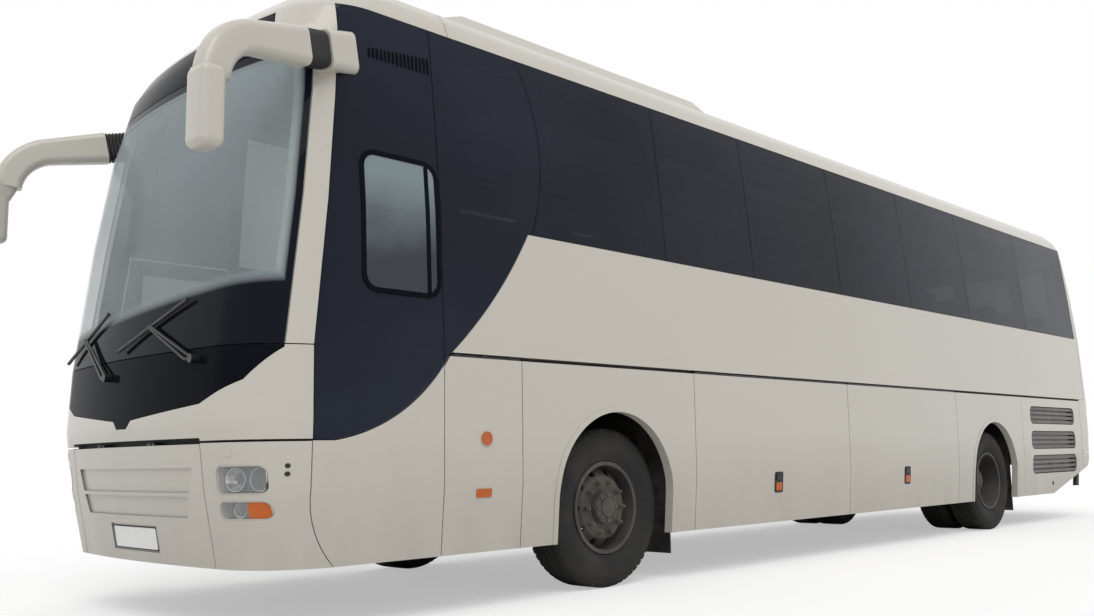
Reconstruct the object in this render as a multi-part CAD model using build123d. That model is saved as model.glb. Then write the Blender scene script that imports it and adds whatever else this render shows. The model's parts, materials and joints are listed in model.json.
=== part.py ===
from build123d import *
import os
from math import atan2, cos, pi, radians, sin, sqrt

# A two-axle, high-deck touring coach with its driver on the left.
# +X points forward, +Y to the left and +Z up; the ground is Z = 0. Stations along X
# are written with the nose of the body at NOSE_X, and every piece is moved by ORIGIN_X
# at the end, so that the frame's origin lies under the middle of the whole vehicle.

# Overall sizes, in millimetres
NOSE_X = 6000
TAIL_X = -6000
HALF_WIDTH = 1275
MIRROR_TIP_X = 6330
ORIGIN_X = (MIRROR_TIP_X + TAIL_X) / 2
FRONT_AXLE_X = 3287
REAR_AXLE_X = -2775
AXLE_Z = 515
TYRE_R = 515

# Walls, gaps and fits
WALL = 60
GLASS = 8
FRAME_DEPTH = 45
FIT = 0.3
SEAM = 6
RUN_FIT = 0.06
FLAP_GAP = 7

# Heights of the main lines of the body
SKIRT_Z = 320
FLOOR_Z = 1380
BELT_Z = 1431
SILL_Z = 2214
BAND_TOP_Z = 3366
BONNET_Z = 955
SCREEN_FOOT_Z = 1433
SCREEN_TOP_Z = 3060
ROOF_Z = 3630

# Stations of the skirt's seams, front to rear
QUARTER_X = 4745
SERVICE_X = 4150
HOLD_FRONT_X = 2465
HOLD_MIDDLE_X = 304
HOLD_REAR_X = -1850
ENGINE_X = -3550
CORNER_X = -5420
MID_DOOR_X = -1010
ROOF_CAP_X = 4590
DOOR_FRONT_X = 5560
PANE_B_X = 4746
BAND_END_X = -5535
WALL_END_X = -5600

# The body's plan at each height: half width, foremost and rearmost point, radii of the
# front corner, front bow and rear corner, and the lean of the surface from upright.
# columns: z, half_width, nose, tail, front_corner, front_bow, rear_corner, lean_deg
LEVELS = [
    (SKIRT_Z, 1240, 5880, -5790, 430, 7000, 340, 0),
    (700, 1272, 5955, -5960, 430, 7000, 340, 0),
    (1050, HALF_WIDTH, NOSE_X, TAIL_X, 430, 7000, 340, 0),
    (BELT_Z, HALF_WIDTH, 5980, TAIL_X, 430, 7000, 340, 0),
    (SILL_Z, 1245, 5890, -5965, 420, 6500, 330, 2),
    (2800, 1193, 5800, -5920, 400, 6000, 320, 6),
    (3200, 1148, 5700, -5880, 400, 5500, 320, 9),
    (BAND_TOP_Z, 1125, 5610, -5850, 400, 5000, 320, 20),
    (3470, 1085, 5500, -5800, 420, 5000, 330, 35),
    (3550, 1015, 5360, -5720, 450, 5000, 350, 52),
    (3600, 915, 5190, -5610, 480, 5000, 380, 68),
    (ROOF_Z, 780, 5000, -5450, 500, 5000, 400, 82),
]
TAIL_BOW = 15000
REACH = 1600

# Wheels and tyres: a tyre's tread half width, its widest half width and its bead
TREAD_HALF = 118
TYRE_HALF = 147
SHOULDER_R = 492
BELLY_R = 405
BEAD_R = 288
BEAD_HALF = 112
RIM_FLANGE_R = 299
RIM_INNER_R = 268
FRONT_TRACK_HALF = 1025
REAR_OUTER_Y = 1045
REAR_INNER_Y = 705
HUB_R = 150
STUB_R = 45
KINGPIN_Y = 860
KINGPIN_R = 22
ARM_LENGTH = 205

# Wheel arches in the skirt
ARCH_HALF = 556
ARCH_TOP_Z = 1133
HOUSING_HALF = 640
HOUSING_INNER_Y = 470
REAR_HOUSING_INNER_Y = 500

# Doors
DOOR_FOOT_Z = 390
DOOR_TOP_Z = 2240
MID_DOOR_TOP_Z = 2100
COLUMN_Y = 1095
COLUMN_R = 24
COLUMN_SET = 95
GOOSENECK = 150
DOOR_REACH = 460
DOOR_PIN_R = 12
ARM_HALF = 16
ARM_THICK = 30

# Flap hinges: a rod in the seam, a little inside the outer surface
HINGE_IN = 9
HINGE_R = 5
EYE_R = 9
FLAP_TOP_GAP = 10
GROOVE_TOP_GAP = 13
BONNET_GROOVE = 21
LID_GROOVE = 15
FLAP_BACK_GAP = 6


def block(x0, x1, y0, y1, z0, z1):
    """A box between two corners."""
    return Pos((x0 + x1) / 2, (y0 + y1) / 2, (z0 + z1) / 2) * Box(x1 - x0, y1 - y0, z1 - z0)


def side_prism(outline, y0=-REACH, y1=REACH):
    """A face drawn in (x, z), carried along Y from y0 to y1."""
    return extrude(Plane.XZ.offset(-y0) * outline, amount=-(y1 - y0))


def front_prism(outline, x0, x1):
    """A face drawn in (y, z), carried along X from x0 to x1."""
    return extrude(Plane.YZ.offset(x0) * outline, amount=x1 - x0)


def polygon(*points):
    """A face with straight edges."""
    return make_face(Polyline(*points, close=True))


def group(pieces):
    """Separate solids that share a node."""
    return Compound([solid for piece in pieces for solid in piece.solids()])


def mirrored(piece):
    """The same piece on the other side of the vehicle."""
    return mirror(piece, Plane.XZ)


def rod(start, end, radius):
    """A round bar between two points."""
    axis = Vector(*end) - Vector(*start)
    plane = Plane(origin=start, z_dir=axis)
    return extrude(plane * Circle(radius), amount=axis.length)


def plan_section(level, inset, foot_drop):
    """One closed plan of the body, moved inwards along its own normal."""
    z, half_width, nose, tail, front_corner, front_bow, rear_corner, lean = level
    sideways = inset * cos(radians(lean))
    z = z - inset * sin(radians(lean)) - foot_drop
    half_width = half_width - sideways
    nose = nose - sideways
    tail = tail + sideways
    front_corner = front_corner - sideways
    front_bow = front_bow - sideways
    rear_corner = rear_corner - sideways
    tail_bow = TAIL_BOW - sideways
    half = []
    for end, bow, corner, sign in ((nose, front_bow, front_corner, 1), (tail, tail_bow, rear_corner, -1)):
        corner_y = half_width - corner
        to_corner = sqrt((bow - corner) ** 2 - corner_y ** 2)
        bow_angle = atan2(corner_y, to_corner)
        corner_x = end + sign * (to_corner - bow)
        middle_angle = (bow_angle + pi / 2) / 2
        on_bow = (end + sign * bow * (cos(bow_angle) - 1), bow * sin(bow_angle))
        middle = (corner_x + sign * corner * cos(middle_angle), corner_y + corner * sin(middle_angle))
        half.append((end, on_bow, middle, (corner_x, half_width)))
    (nose, bow_f, mid_f, side_f), (tail, bow_r, mid_r, side_r) = half

    def right(point):
        return (point[0], -point[1])

    edges = [
        ThreePointArc(right(bow_f), (nose, 0), bow_f),
        ThreePointArc(bow_f, mid_f, side_f),
        Line(side_f, side_r),
        ThreePointArc(side_r, mid_r, bow_r),
        ThreePointArc(bow_r, (tail, 0), right(bow_r)),
        ThreePointArc(right(bow_r), right(mid_r), right(side_r)),
        Line(right(side_r), right(side_f)),
        ThreePointArc(right(side_f), right(mid_f), right(bow_f)),
    ]
    return Pos(0, 0, z) * make_face(Wire(edges))


def hull(inset):
    """The solid inside the body's surface, moved inwards by inset."""
    sections = []
    for number, level in enumerate(LEVELS):
        foot_drop = 20 if number == 0 and inset > 0 else 0
        sections.append(plan_section(level, inset, foot_drop))
    return loft(sections, ruled=True)


def level_value(z, column):
    """A value of the body's table at a height, by straight lines between its levels."""
    for low, high in zip(LEVELS, LEVELS[1:]):
        if z <= high[0]:
            share = (z - low[0]) / (high[0] - low[0])
            return low[column] + share * (high[column] - low[column])
    return LEVELS[-1][column]


def half_width_at(z):
    return level_value(z, 1)


OUTER = hull(0)
INNER = hull(WALL)
SKIN = OUTER - INNER
GLASS_SKIN = OUTER - hull(GLASS)
BACKING = hull(GLASS + FIT) - INNER
FRAME_OUTER = hull(WALL + FIT)
FRAME_SKIN = FRAME_OUTER - hull(WALL + FIT + FRAME_DEPTH)
CABIN = hull(WALL + FIT + FRAME_DEPTH + FIT)

nodes = {}

# The front screen's side edge and the pillar behind it lean back with the front.
# columns: station at SCREEN_FOOT_Z, station at SCREEN_TOP_Z
SCREEN_EDGE = (5712, 5500)
PILLAR_EDGE = (5576, 5385)


def edge_at(edge, z):
    """Station of a leaning edge at a height; below the screen's foot it stands upright."""
    share = max(0.0, (z - SCREEN_FOOT_Z) / (SCREEN_TOP_Z - SCREEN_FOOT_Z))
    return edge[0] + share * (edge[1] - edge[0])


def beside(edge, z0, z1, shift, reach):
    """Everything between a leaning edge, moved forward by shift, and a far station."""
    heights = [z0, SCREEN_FOOT_Z, z1] if z0 < SCREEN_FOOT_Z < z1 else [z0, z1]
    points = [(edge_at(edge, z) + shift, z) for z in heights]
    return side_prism(polygon((reach, z0), *points, (reach, z1)))


def ahead_of(edge, z0, z1, gap=0.0):
    """Everything forward of a leaning edge, between two heights."""
    return beside(edge, z0, z1, gap, REACH * 4)


def behind(edge, z0, z1, gap=0.0):
    """Everything rearward of a leaning edge, between two heights."""
    return beside(edge, z0, z1, -gap, -REACH * 5)


# Glass and black panels of the front
LEFT = (0, REACH)
RIGHT = (-REACH, 0)
nodes["windscreen"] = GLASS_SKIN & ahead_of(
    SCREEN_EDGE, SCREEN_FOOT_Z + SEAM / 2, SCREEN_TOP_Z - SEAM / 2, SEAM / 2
)

# The black panel under the screen: its lower edge steps up towards the pillars
PANEL_NOTCH_Z = 1045
PANEL_LOW_Z = 1090
PANEL_HIGH_Z = 1150
NOTCH_HALF = 60
PANEL_FLAT_HALF = 800
PANEL_SIDE_HALF = 1080


def wiper_panel_face(gap):
    """The panel's outline seen from the front, grown by a gap."""
    foot = SCREEN_FOOT_Z - SEAM / 2 + gap
    right_half = [
        (NOTCH_HALF + gap, PANEL_NOTCH_Z - gap),
        (NOTCH_HALF + 50 + gap, PANEL_LOW_Z - gap),
        (PANEL_FLAT_HALF + gap, PANEL_HIGH_Z - gap),
        (PANEL_SIDE_HALF + gap, 1260 - gap),
        (1220 + 3 * gap, foot),
    ]
    left_half = [(-y, z) for y, z in reversed(right_half)]
    return polygon(*left_half, *right_half)


PANEL_ZONE = ahead_of(SCREEN_EDGE, 900, SCREEN_FOOT_Z - SEAM / 2, SEAM / 2)
nodes["wiper_panel"] = SKIN & front_prism(wiper_panel_face(0), 5000, 6400) & PANEL_ZONE

# Cream mask around the black panel, from the bonnet seam up to the pillars' feet
MASK_ZONE = ahead_of(PILLAR_EDGE, BONNET_Z + SEAM, SCREEN_FOOT_Z - SEAM / 2, SEAM / 2)
mask = SKIN & MASK_ZONE
mask -= front_prism(wiper_panel_face(SEAM / 2), 5000, 6400) & ahead_of(SCREEN_EDGE, 900, 1600)
nodes["front_mask"] = mask

# Black brow above the screen, between the two arches of the roof cap
BROW_TOP_Z = 3330
BROW_HALF_LOW = 1000
BROW_HALF_HIGH = 800


def brow_face(gap):
    return polygon(
        (-BROW_HALF_LOW - gap, SCREEN_TOP_Z - 40),
        (BROW_HALF_LOW + gap, SCREEN_TOP_Z - 40),
        (BROW_HALF_HIGH + gap, BROW_TOP_Z + gap),
        (-BROW_HALF_HIGH - gap, BROW_TOP_Z + gap),
    )


BROW_ZONE = block(4600, 6400, -REACH, REACH, SCREEN_TOP_Z + SEAM / 2, BROW_TOP_Z)
nodes["brow_panel"] = SKIN & front_prism(brow_face(0), 5000, 6400) & BROW_ZONE

# Roof cap with the two front pillars in one moulding
cap = SKIN & ahead_of(PILLAR_EDGE, SCREEN_FOOT_Z + SEAM / 2, BAND_TOP_Z + SEAM, SEAM / 2)
cap -= ahead_of(SCREEN_EDGE, SCREEN_FOOT_Z - 50, SCREEN_TOP_Z, -SEAM / 2)
cap -= front_prism(brow_face(SEAM), 5000, 6400) & block(
    4600, 6400, -REACH, REACH, SCREEN_TOP_Z - 90, BROW_TOP_Z + SEAM
)
cap += SKIN & block(ROOF_CAP_X + SEAM / 2, 6400, -REACH, REACH, BAND_TOP_Z + SEAM, 4000)
# A ledge behind the screen's side edge carries the glass
LEDGE = 45
ledge_zone = ahead_of(SCREEN_EDGE, SCREEN_FOOT_Z + SEAM / 2, SCREEN_TOP_Z, -SEAM / 2)
ledge_zone &= behind(SCREEN_EDGE, SCREEN_FOOT_Z + SEAM / 2, SCREEN_TOP_Z, -LEDGE)
cap += BACKING & ledge_zone
nodes["roof_cap"] = cap

# Roof
nodes["roof_shell"] = SKIN & block(
    TAIL_X - 100, ROOF_CAP_X - SEAM / 2, -REACH, REACH, BAND_TOP_Z + SEAM, 4000
)

# Air-conditioning unit on the roof: a low box with sloped ends
AC_FRONT_X = 4500
AC_REAR_X = 1300
AC_HALF = 800
AC_TOP_Z = 3810
ac_side = polygon(
    (AC_REAR_X, ROOF_Z), (AC_FRONT_X, ROOF_Z), (AC_FRONT_X - 420, AC_TOP_Z), (AC_REAR_X + 250, AC_TOP_Z)
)
ac_front = polygon(
    (-AC_HALF + 40, ROOF_Z), (AC_HALF - 40, ROOF_Z), (AC_HALF - 150, AC_TOP_Z), (-AC_HALF + 150, AC_TOP_Z)
)
nodes["roof_aircon"] = side_prism(ac_side) & front_prism(ac_front, 0, 6000)

# Sweep of the dark side glass: its lower edge runs up from the bumper to the window sill
SWEEP_START = (5450, 955)
SWEEP_LOW_MIDDLE = (5050, 1098)
SWEEP_BELT = (4705, BELT_Z)
SWEEP_HIGH_MIDDLE = (4390, 1745)
SWEEP_END = (4058, SILL_Z)
CURVE_TOP_X = 4071
CURVE_MIDDLE = (3904, 2790)


def sweep_face(gap):
    """The region behind and below the sweep, moved away from the glass by a gap."""
    slant = gap * 0.7
    start = (SWEEP_START[0], SWEEP_START[1] - gap)
    low_middle = (SWEEP_LOW_MIDDLE[0] - slant, SWEEP_LOW_MIDDLE[1] - slant)
    belt = (SWEEP_BELT[0] - slant, SWEEP_BELT[1] - slant)
    high_middle = (SWEEP_HIGH_MIDDLE[0] - slant, SWEEP_HIGH_MIDDLE[1] - slant)
    end = (SWEEP_END[0] - gap, SILL_Z - gap)
    far = REACH * 5
    return make_face(
        [
            ThreePointArc(start, low_middle, belt),
            ThreePointArc(belt, high_middle, end),
            Line(end, (-far, end[1])),
            Line((-far, end[1]), (-far, 0)),
            Line((-far, 0), (far, 0)),
            Line((far, 0), (far, start[1])),
            Line((far, start[1]), start),
        ]
    )


BELOW_SWEEP = side_prism(sweep_face(SEAM / 2))
ABOVE_SWEEP = side_prism(sweep_face(-SEAM / 2))

# Window openings behind the flush glass: the middles of the pillars between them
PILLARS_X = [3905, 2700, 1600, 260, -1070, -2400, -3950, BAND_END_X - 60]
PILLAR_HALF = 60
WINDOW_LOW_Z = SILL_Z + 60
WINDOW_HIGH_Z = BAND_TOP_Z - 130
DRIVER_WINDOW = (4800, 5290, 1740, 2560)

openings = []
for front_x, rear_x in zip(PILLARS_X, PILLARS_X[1:]):
    openings.append(
        block(rear_x + PILLAR_HALF, front_x - PILLAR_HALF, -REACH, REACH, WINDOW_LOW_Z, WINDOW_HIGH_Z)
    )
openings.append(block(4100, PANE_B_X - PILLAR_HALF, -REACH, REACH, WINDOW_LOW_Z, WINDOW_HIGH_Z))
window_cut = Part() + openings
driver_cut = block(DRIVER_WINDOW[0], DRIVER_WINDOW[1], -REACH, REACH, DRIVER_WINDOW[2], DRIVER_WINDOW[3])

# Cream walls from the belt groove up to the cantrail, with the band rebated for the glass
WALL_FOOT_Z = BELT_Z + GROOVE_TOP_GAP
BAND = block(BAND_END_X, 5700, -REACH, REACH, SILL_Z - SEAM / 2, BAND_TOP_Z)
wall_zone = block(WALL_END_X, 5700, -REACH, REACH, WALL_FOOT_Z, BAND_TOP_Z)
cream = SKIN & wall_zone & BELOW_SWEEP
dark = (BACKING & wall_zone) - BELOW_SWEEP
dark &= behind(PILLAR_EDGE, WALL_FOOT_Z - 10, BAND_TOP_Z + 10, SEAM / 2)
band_tail = SKIN & block(WALL_END_X, BAND_END_X - SEAM / 2, -REACH, REACH, SILL_Z - SEAM / 2, BAND_TOP_Z)
wall = (cream + dark + band_tail) - window_cut
wall_left = (wall & block(-7000, 7000, 100, REACH, 0, 4000)) - driver_cut
front_door_hole = block(QUARTER_X, DOOR_FRONT_X, -REACH, 0, 0, DOOR_TOP_Z + SEAM)
mid_door_hole = block(HOLD_REAR_X + 30, MID_DOOR_X, -REACH, 0, 0, MID_DOOR_TOP_Z + SEAM)
wall_right = (wall & block(-7000, 7000, -REACH, -100, 0, 4000)) - front_door_hole - mid_door_hole
nodes["side_wall_left"] = wall_left
nodes["side_wall_right"] = wall_right

# Flush side glass: one pane for each opening, with thin joints over the pillars
glass_band = GLASS_SKIN & block(BAND_END_X, 5700, -REACH, REACH, BONNET_Z, BAND_TOP_Z)
glass_band = glass_band - side_prism(sweep_face(-SEAM / 2))
glass_band &= behind(PILLAR_EDGE, BONNET_Z - 10, BAND_TOP_Z + 10, SEAM / 2)
joints = [block(x - SEAM / 2, x + SEAM / 2, -REACH, REACH, 0, 4000) for x in PILLARS_X[1:-1]]
joints.append(block(PANE_B_X - SEAM / 2, PANE_B_X + SEAM / 2, -REACH, REACH, 0, 4000))
curve = make_face(
    [
        ThreePointArc((CURVE_TOP_X, 3400), CURVE_MIDDLE, (4050, SILL_Z - 40)),
        Line((4050, SILL_Z - 40), (4050 - SEAM, SILL_Z - 40)),
        ThreePointArc(
            (4050 - SEAM, SILL_Z - 40),
            (CURVE_MIDDLE[0] - SEAM, CURVE_MIDDLE[1]),
            (CURVE_TOP_X - SEAM, 3400),
        ),
        Line((CURVE_TOP_X - SEAM, 3400), (CURVE_TOP_X, 3400)),
    ]
)
joints.append(side_prism(curve))
panes = glass_band - (Part() + joints)
nodes["side_glass_left"] = panes & block(-7000, 7000, 100, REACH, 0, 4000)
nodes["side_glass_right"] = (panes & block(-7000, 7000, -REACH, -100, 0, 4000)) - block(
    QUARTER_X - SEAM, DOOR_FRONT_X + 200, -REACH, 0, 0, DOOR_TOP_Z + SEAM
)

# Skirt panels that don't open: a corner at the front left, the wheel arches and the engine bay's sides
SKIRT_TOP_Z = BELT_Z - FLAP_TOP_GAP
BUMPER_END_X = 5560
# The bumper's left end: upright, then swept back to the lower edge
BUMPER_LEFT_X = 5582
BUMPER_CURVE_TOP_Z = 720
BUMPER_CURVE_MIDDLE = (5549, 504)
BUMPER_CURVE_FOOT = (5430, 318)


def bumper_zone(gap):
    """Everything forward of the bumper's left end, moved forward by a gap."""
    top = (BUMPER_LEFT_X + gap, BUMPER_CURVE_TOP_Z)
    middle = (BUMPER_CURVE_MIDDLE[0] + gap, BUMPER_CURVE_MIDDLE[1])
    foot = (BUMPER_CURVE_FOOT[0] + gap, BUMPER_CURVE_FOOT[1])
    face = make_face(
        [
            ThreePointArc(foot, middle, top),
            Line(top, (top[0], BELT_Z)),
            Line((top[0], BELT_Z), (REACH * 4, BELT_Z)),
            Line((REACH * 4, BELT_Z), (REACH * 4, 0)),
            Line((REACH * 4, 0), (foot[0], 0)),
            Line((foot[0], 0), foot),
        ]
    )
    return side_prism(face, 0, REACH)


def arch_prism(axle_x, half, top_z):
    """A wheel arch: upright sides with a round top."""
    spring_z = top_z - half
    face = make_face(
        [
            Line((axle_x - half, 0), (axle_x + half, 0)),
            Line((axle_x + half, 0), (axle_x + half, spring_z)),
            ThreePointArc((axle_x + half, spring_z), (axle_x, top_z), (axle_x - half, spring_z)),
            Line((axle_x - half, spring_z), (axle_x - half, 0)),
        ]
    )
    return side_prism(face)


LIP_PROUD = 6
LIP_WIDTH = 36
LIP_SKIN = hull(-LIP_PROUD) - hull(WALL / 2)


def arch_lip(axle_x, half):
    """The raised rim around a left wheel arch."""
    ring = arch_prism(axle_x, half + LIP_WIDTH, ARCH_TOP_Z + LIP_WIDTH) - arch_prism(
        axle_x, half, ARCH_TOP_Z
    )
    return LIP_SKIN & ring & block(axle_x - REACH, axle_x + REACH, 0, REACH, SKIRT_Z, BELT_Z)


def skirt(x_front, x_rear, side, top_z=SKIRT_TOP_Z):
    """A skirt panel between two seams on one side."""
    zone = block(x_rear + SEAM / 2, x_front - SEAM / 2, side[0], side[1], 0, top_z)
    return SKIN & zone


# The tail's underside rises from here to the rear bumper
DEPARTURE_X = -4450
DEPARTURE_RISE = 0.26
departure = side_prism(
    polygon(
        (DEPARTURE_X, 0),
        (DEPARTURE_X, SKIRT_Z),
        (-6600, SKIRT_Z + DEPARTURE_RISE * (6600 + DEPARTURE_X)),
        (-6600, 0),
    )
)

# Louvred openings in the engine bay's sides: heights of their lower and upper edges
LOUVRE_FRONT_X = -3790
LOUVRE_REAR_X = -5200
LOUVRES_Z = [(1125, 1326), (838, 1045), (560, 770)]
SLAT_COUNT = 4
SCREEN_IN = 46


def louvre_hole(low_z, high_z):
    """A long opening with round corners."""
    size = (LOUVRE_FRONT_X - LOUVRE_REAR_X, high_z - low_z)
    face = RectangleRounded(size[0], size[1], 70)
    return side_prism(Pos((LOUVRE_FRONT_X + LOUVRE_REAR_X) / 2, (low_z + high_z) / 2) * face)


SLAT_SKIN = hull(14) - hull(44)


def slats(low_z, high_z):
    """Bars along the opening, each tipped down to the outside."""
    bars = Part()
    pitch = (high_z - low_z) / SLAT_COUNT
    for number in range(SLAT_COUNT):
        z = low_z + pitch * (number + 0.5)
        bars += SLAT_SKIN & block(
            LOUVRE_REAR_X - 30, LOUVRE_FRONT_X + 30, 0, REACH, z - pitch * 0.3, z + pitch * 0.3
        )
    return bars


skirts = []
quarter = skirt(BUMPER_LEFT_X, QUARTER_X, LEFT) & BELOW_SWEEP
quarter -= bumper_zone(-SEAM)
skirts.append(quarter)
engine_side = (skirt(ENGINE_X, CORNER_X, LEFT)) - departure
for low_z, high_z in LOUVRES_Z:
    engine_side = engine_side - louvre_hole(low_z, high_z) + slats(low_z, high_z)
engine_side += (hull(SCREEN_IN) - hull(WALL)) & block(
    LOUVRE_REAR_X - 30, LOUVRE_FRONT_X + 30, 0, REACH, LOUVRES_Z[2][0] - 20, LOUVRES_Z[0][1] + 20
)
front_lip = arch_lip(FRONT_AXLE_X, ARCH_HALF)
front_arch = skirt(SERVICE_X, HOLD_FRONT_X, LEFT) - arch_prism(FRONT_AXLE_X, ARCH_HALF, ARCH_TOP_Z)
front_arch += front_lip
rear_arch = skirt(HOLD_REAR_X, ENGINE_X, LEFT) - arch_prism(REAR_AXLE_X, ARCH_HALF, ARCH_TOP_Z)
rear_arch += arch_lip(REAR_AXLE_X, ARCH_HALF)
skirts += [front_arch, rear_arch, engine_side]
skirts += [mirrored(rear_arch), mirrored(engine_side)]
right_front = skirt(QUARTER_X, HOLD_FRONT_X, RIGHT) & BELOW_SWEEP
skirts.append(right_front - arch_prism(FRONT_AXLE_X, ARCH_HALF, ARCH_TOP_Z) + mirrored(front_lip))
nodes["skirt_panels"] = group(skirts)

# Front bumper with its lamps, around the middle flap
FLAP_HALF = 800
BUMPER_TOP_Z = BONNET_Z - SEAM
corner_left = SKIN & block(5300, 6400, FLAP_HALF + FLAP_GAP, REACH, 0, BUMPER_TOP_Z) & bumper_zone(0)
corner_right = SKIN & block(BUMPER_END_X + SEAM / 2, 6400, -REACH, -FLAP_HALF - FLAP_GAP, 0, BUMPER_TOP_Z)
# columns: lower z, upper z
LAMP_ROWS = [(700, 830), (575, 655)]
LAMP_INNER_Y = 925
LAMP_OUTER_Y = 1160
LAMP_CORNER_R = 28
LAMP_SKIN = OUTER - hull(WALL - 15)
LAMP_SINK = hull(6)


def lamp_prism(low_z, high_z, gap):
    """A left lamp's outline with round corners, grown by a gap, carried along X."""
    size = (LAMP_OUTER_Y - LAMP_INNER_Y + 2 * gap, high_z - low_z + 2 * gap)
    face = RectangleRounded(size[0], size[1], LAMP_CORNER_R + gap)
    middle = Pos((LAMP_INNER_Y + LAMP_OUTER_Y) / 2, (low_z + high_z) / 2)
    return front_prism(middle * face, 5400, 6400)


lamps = []
for low_z, high_z in LAMP_ROWS:
    pocket = lamp_prism(low_z, high_z, FIT)
    corner_left = corner_left - pocket
    corner_right = corner_right - mirrored(pocket)
    lens = LAMP_SKIN & LAMP_SINK & lamp_prism(low_z, high_z, 0)
    lamps += [lens, mirrored(lens)]
nodes["bumper_front"] = group([corner_left, corner_right])
nodes["headlamps"] = group(lamps)

# Rear wall, window, bumper and lamps
REAR_WINDOW_HALF = 900
LID_HALF = 880
LID_FOOT_Z = 800
LID_TOP_Z = BELT_Z
REAR_BUMPER_Z = 780
rear_zone = block(-6400, CORNER_X - SEAM / 2, -REACH, REACH, REAR_BUMPER_Z + SEAM, WALL_FOOT_Z - SEAM / 2)
rear_zone += block(-6400, WALL_END_X - SEAM, -REACH, REACH, BELT_Z, BAND_TOP_Z)
rear_wall = SKIN & rear_zone
lid_hole = block(
    -6400, -5500, -LID_HALF - FLAP_GAP, LID_HALF + FLAP_GAP, LID_FOOT_Z - FLAP_GAP, LID_TOP_Z + FLAP_GAP
)
rear_glass_zone = block(-6400, -5600, -REAR_WINDOW_HALF, REAR_WINDOW_HALF, 2280, 3220)
rear_glass_rebate = block(-6400, -5600, -REAR_WINDOW_HALF - 3, REAR_WINDOW_HALF + 3, 2277, 3223)
rear_wall = rear_wall - lid_hole - (rear_glass_rebate & (OUTER - hull(GLASS + FIT)))
rear_wall = rear_wall - block(-6400, -5600, -REAR_WINDOW_HALF + 70, REAR_WINDOW_HALF - 70, 2350, 3150)
TAIL_LAMP = (880, 1330)
tail_lamp_zone = block(-5960, -5700, 950, REACH, TAIL_LAMP[0], TAIL_LAMP[1])
tail_pocket = block(-5960 - FIT, -5700 + FIT, 950 - FIT, REACH, TAIL_LAMP[0] - FIT, TAIL_LAMP[1] + FIT)
rear_wall = rear_wall - (tail_pocket & OUTER) - (mirrored(tail_pocket) & OUTER)
nodes["rear_wall"] = rear_wall
nodes["rear_window"] = GLASS_SKIN & rear_glass_zone
tail_lens = LAMP_SKIN & tail_lamp_zone
nodes["tail_lamps"] = group([tail_lens, mirrored(tail_lens)])
rear_bumper = SKIN & block(-6400, CORNER_X - SEAM / 2, -REACH, REACH, 0, REAR_BUMPER_Z)
nodes["bumper_rear"] = rear_bumper - departure

# Frame behind the panels: rails at the belt, cantrail, sill and bonnet, posts behind the seams
POST_HALF = 40
frame_zones = [
    block(-7000, 7000, -REACH, REACH, 1350, 1470),
    block(-7000, 7000, -REACH, REACH, BAND_TOP_Z - 50, BAND_TOP_Z + 60),
    block(5000, 7000, -REACH, REACH, BONNET_Z - 40, BONNET_Z + 60),
    block(5000, 7000, -REACH, REACH, 480, 540),
    block(-7000, -5300, -REACH, REACH, REAR_BUMPER_Z - 50, REAR_BUMPER_Z + 60),
    block(-7000, -5300, -REACH, REACH, 2200, 2260),
]
for x in (QUARTER_X, SERVICE_X, HOLD_FRONT_X, HOLD_MIDDLE_X, HOLD_REAR_X, ENGINE_X, CORNER_X):
    frame_zones.append(block(x - POST_HALF, x + POST_HALF, -REACH, REACH, 380, 1400))
for x in PILLARS_X[1:-1] + [PANE_B_X, BAND_END_X]:
    frame_zones.append(block(x - POST_HALF, x + POST_HALF, -REACH, REACH, 1400, BAND_TOP_Z))
frame_zones.append(
    behind(PILLAR_EDGE, 500, BAND_TOP_Z, -60) & ahead_of(PILLAR_EDGE, 500, BAND_TOP_Z, -50)
)
for y in (-FLAP_HALF - 60, FLAP_HALF + 60):
    frame_zones.append(block(5000, 7000, y - POST_HALF, y + POST_HALF, 480, BONNET_Z))
    frame_zones.append(block(-7000, -5000, y - POST_HALF, y + POST_HALF, REAR_BUMPER_Z, BELT_Z))
frame = Part() + [FRAME_SKIN & zone for zone in frame_zones]
DOOR_CLEAR = 25
frame -= block(QUARTER_X - 20, DOOR_FRONT_X + 10, -REACH, 0, 0, DOOR_TOP_Z + DOOR_CLEAR)
frame -= block(HOLD_REAR_X + 20, MID_DOOR_X + 10, -REACH, 0, 0, MID_DOOR_TOP_Z + DOOR_CLEAR)

# Flaps of the luggage holds and the service locker, hinged on a rod in the belt groove
FLAP_SKIN = OUTER - hull(WALL - FLAP_BACK_GAP)
HINGE_Y = HALF_WIDTH - HINGE_IN
EYE_HALF = 12
EYE_CLEAR = 6
TONGUE_HALF = 4


def eye_stations(x_front, x_rear):
    """Places of a flap's three hinge eyes."""
    inset = (x_front - x_rear) * 0.15
    return [x_front - inset, (x_front + x_rear) / 2, x_rear + inset]


def side_flap(x_front, x_rear):
    """A left flap with its hinge rod and the tongue that holds the rod."""
    x0 = x_rear + FLAP_GAP - SEAM / 2
    x1 = x_front - FLAP_GAP + SEAM / 2
    flap = FLAP_SKIN & block(x0, x1, 0, REACH, 0, BELT_Z - FLAP_TOP_GAP)
    tongue = block(x0 + 10, x1 - 10, HINGE_Y - TONGUE_HALF, HINGE_Y + TONGUE_HALF, BELT_Z - 40, BELT_Z)
    for x in eye_stations(x_front, x_rear):
        clear = EYE_HALF + EYE_CLEAR
        tongue -= block(x - clear, x + clear, 0, REACH, BELT_Z - FLAP_TOP_GAP, BELT_Z + 20)
    flap += tongue
    flap += rod((x0 + 10, HINGE_Y, BELT_Z), (x1 - 10, HINGE_Y, BELT_Z), HINGE_R)
    return flap


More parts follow.
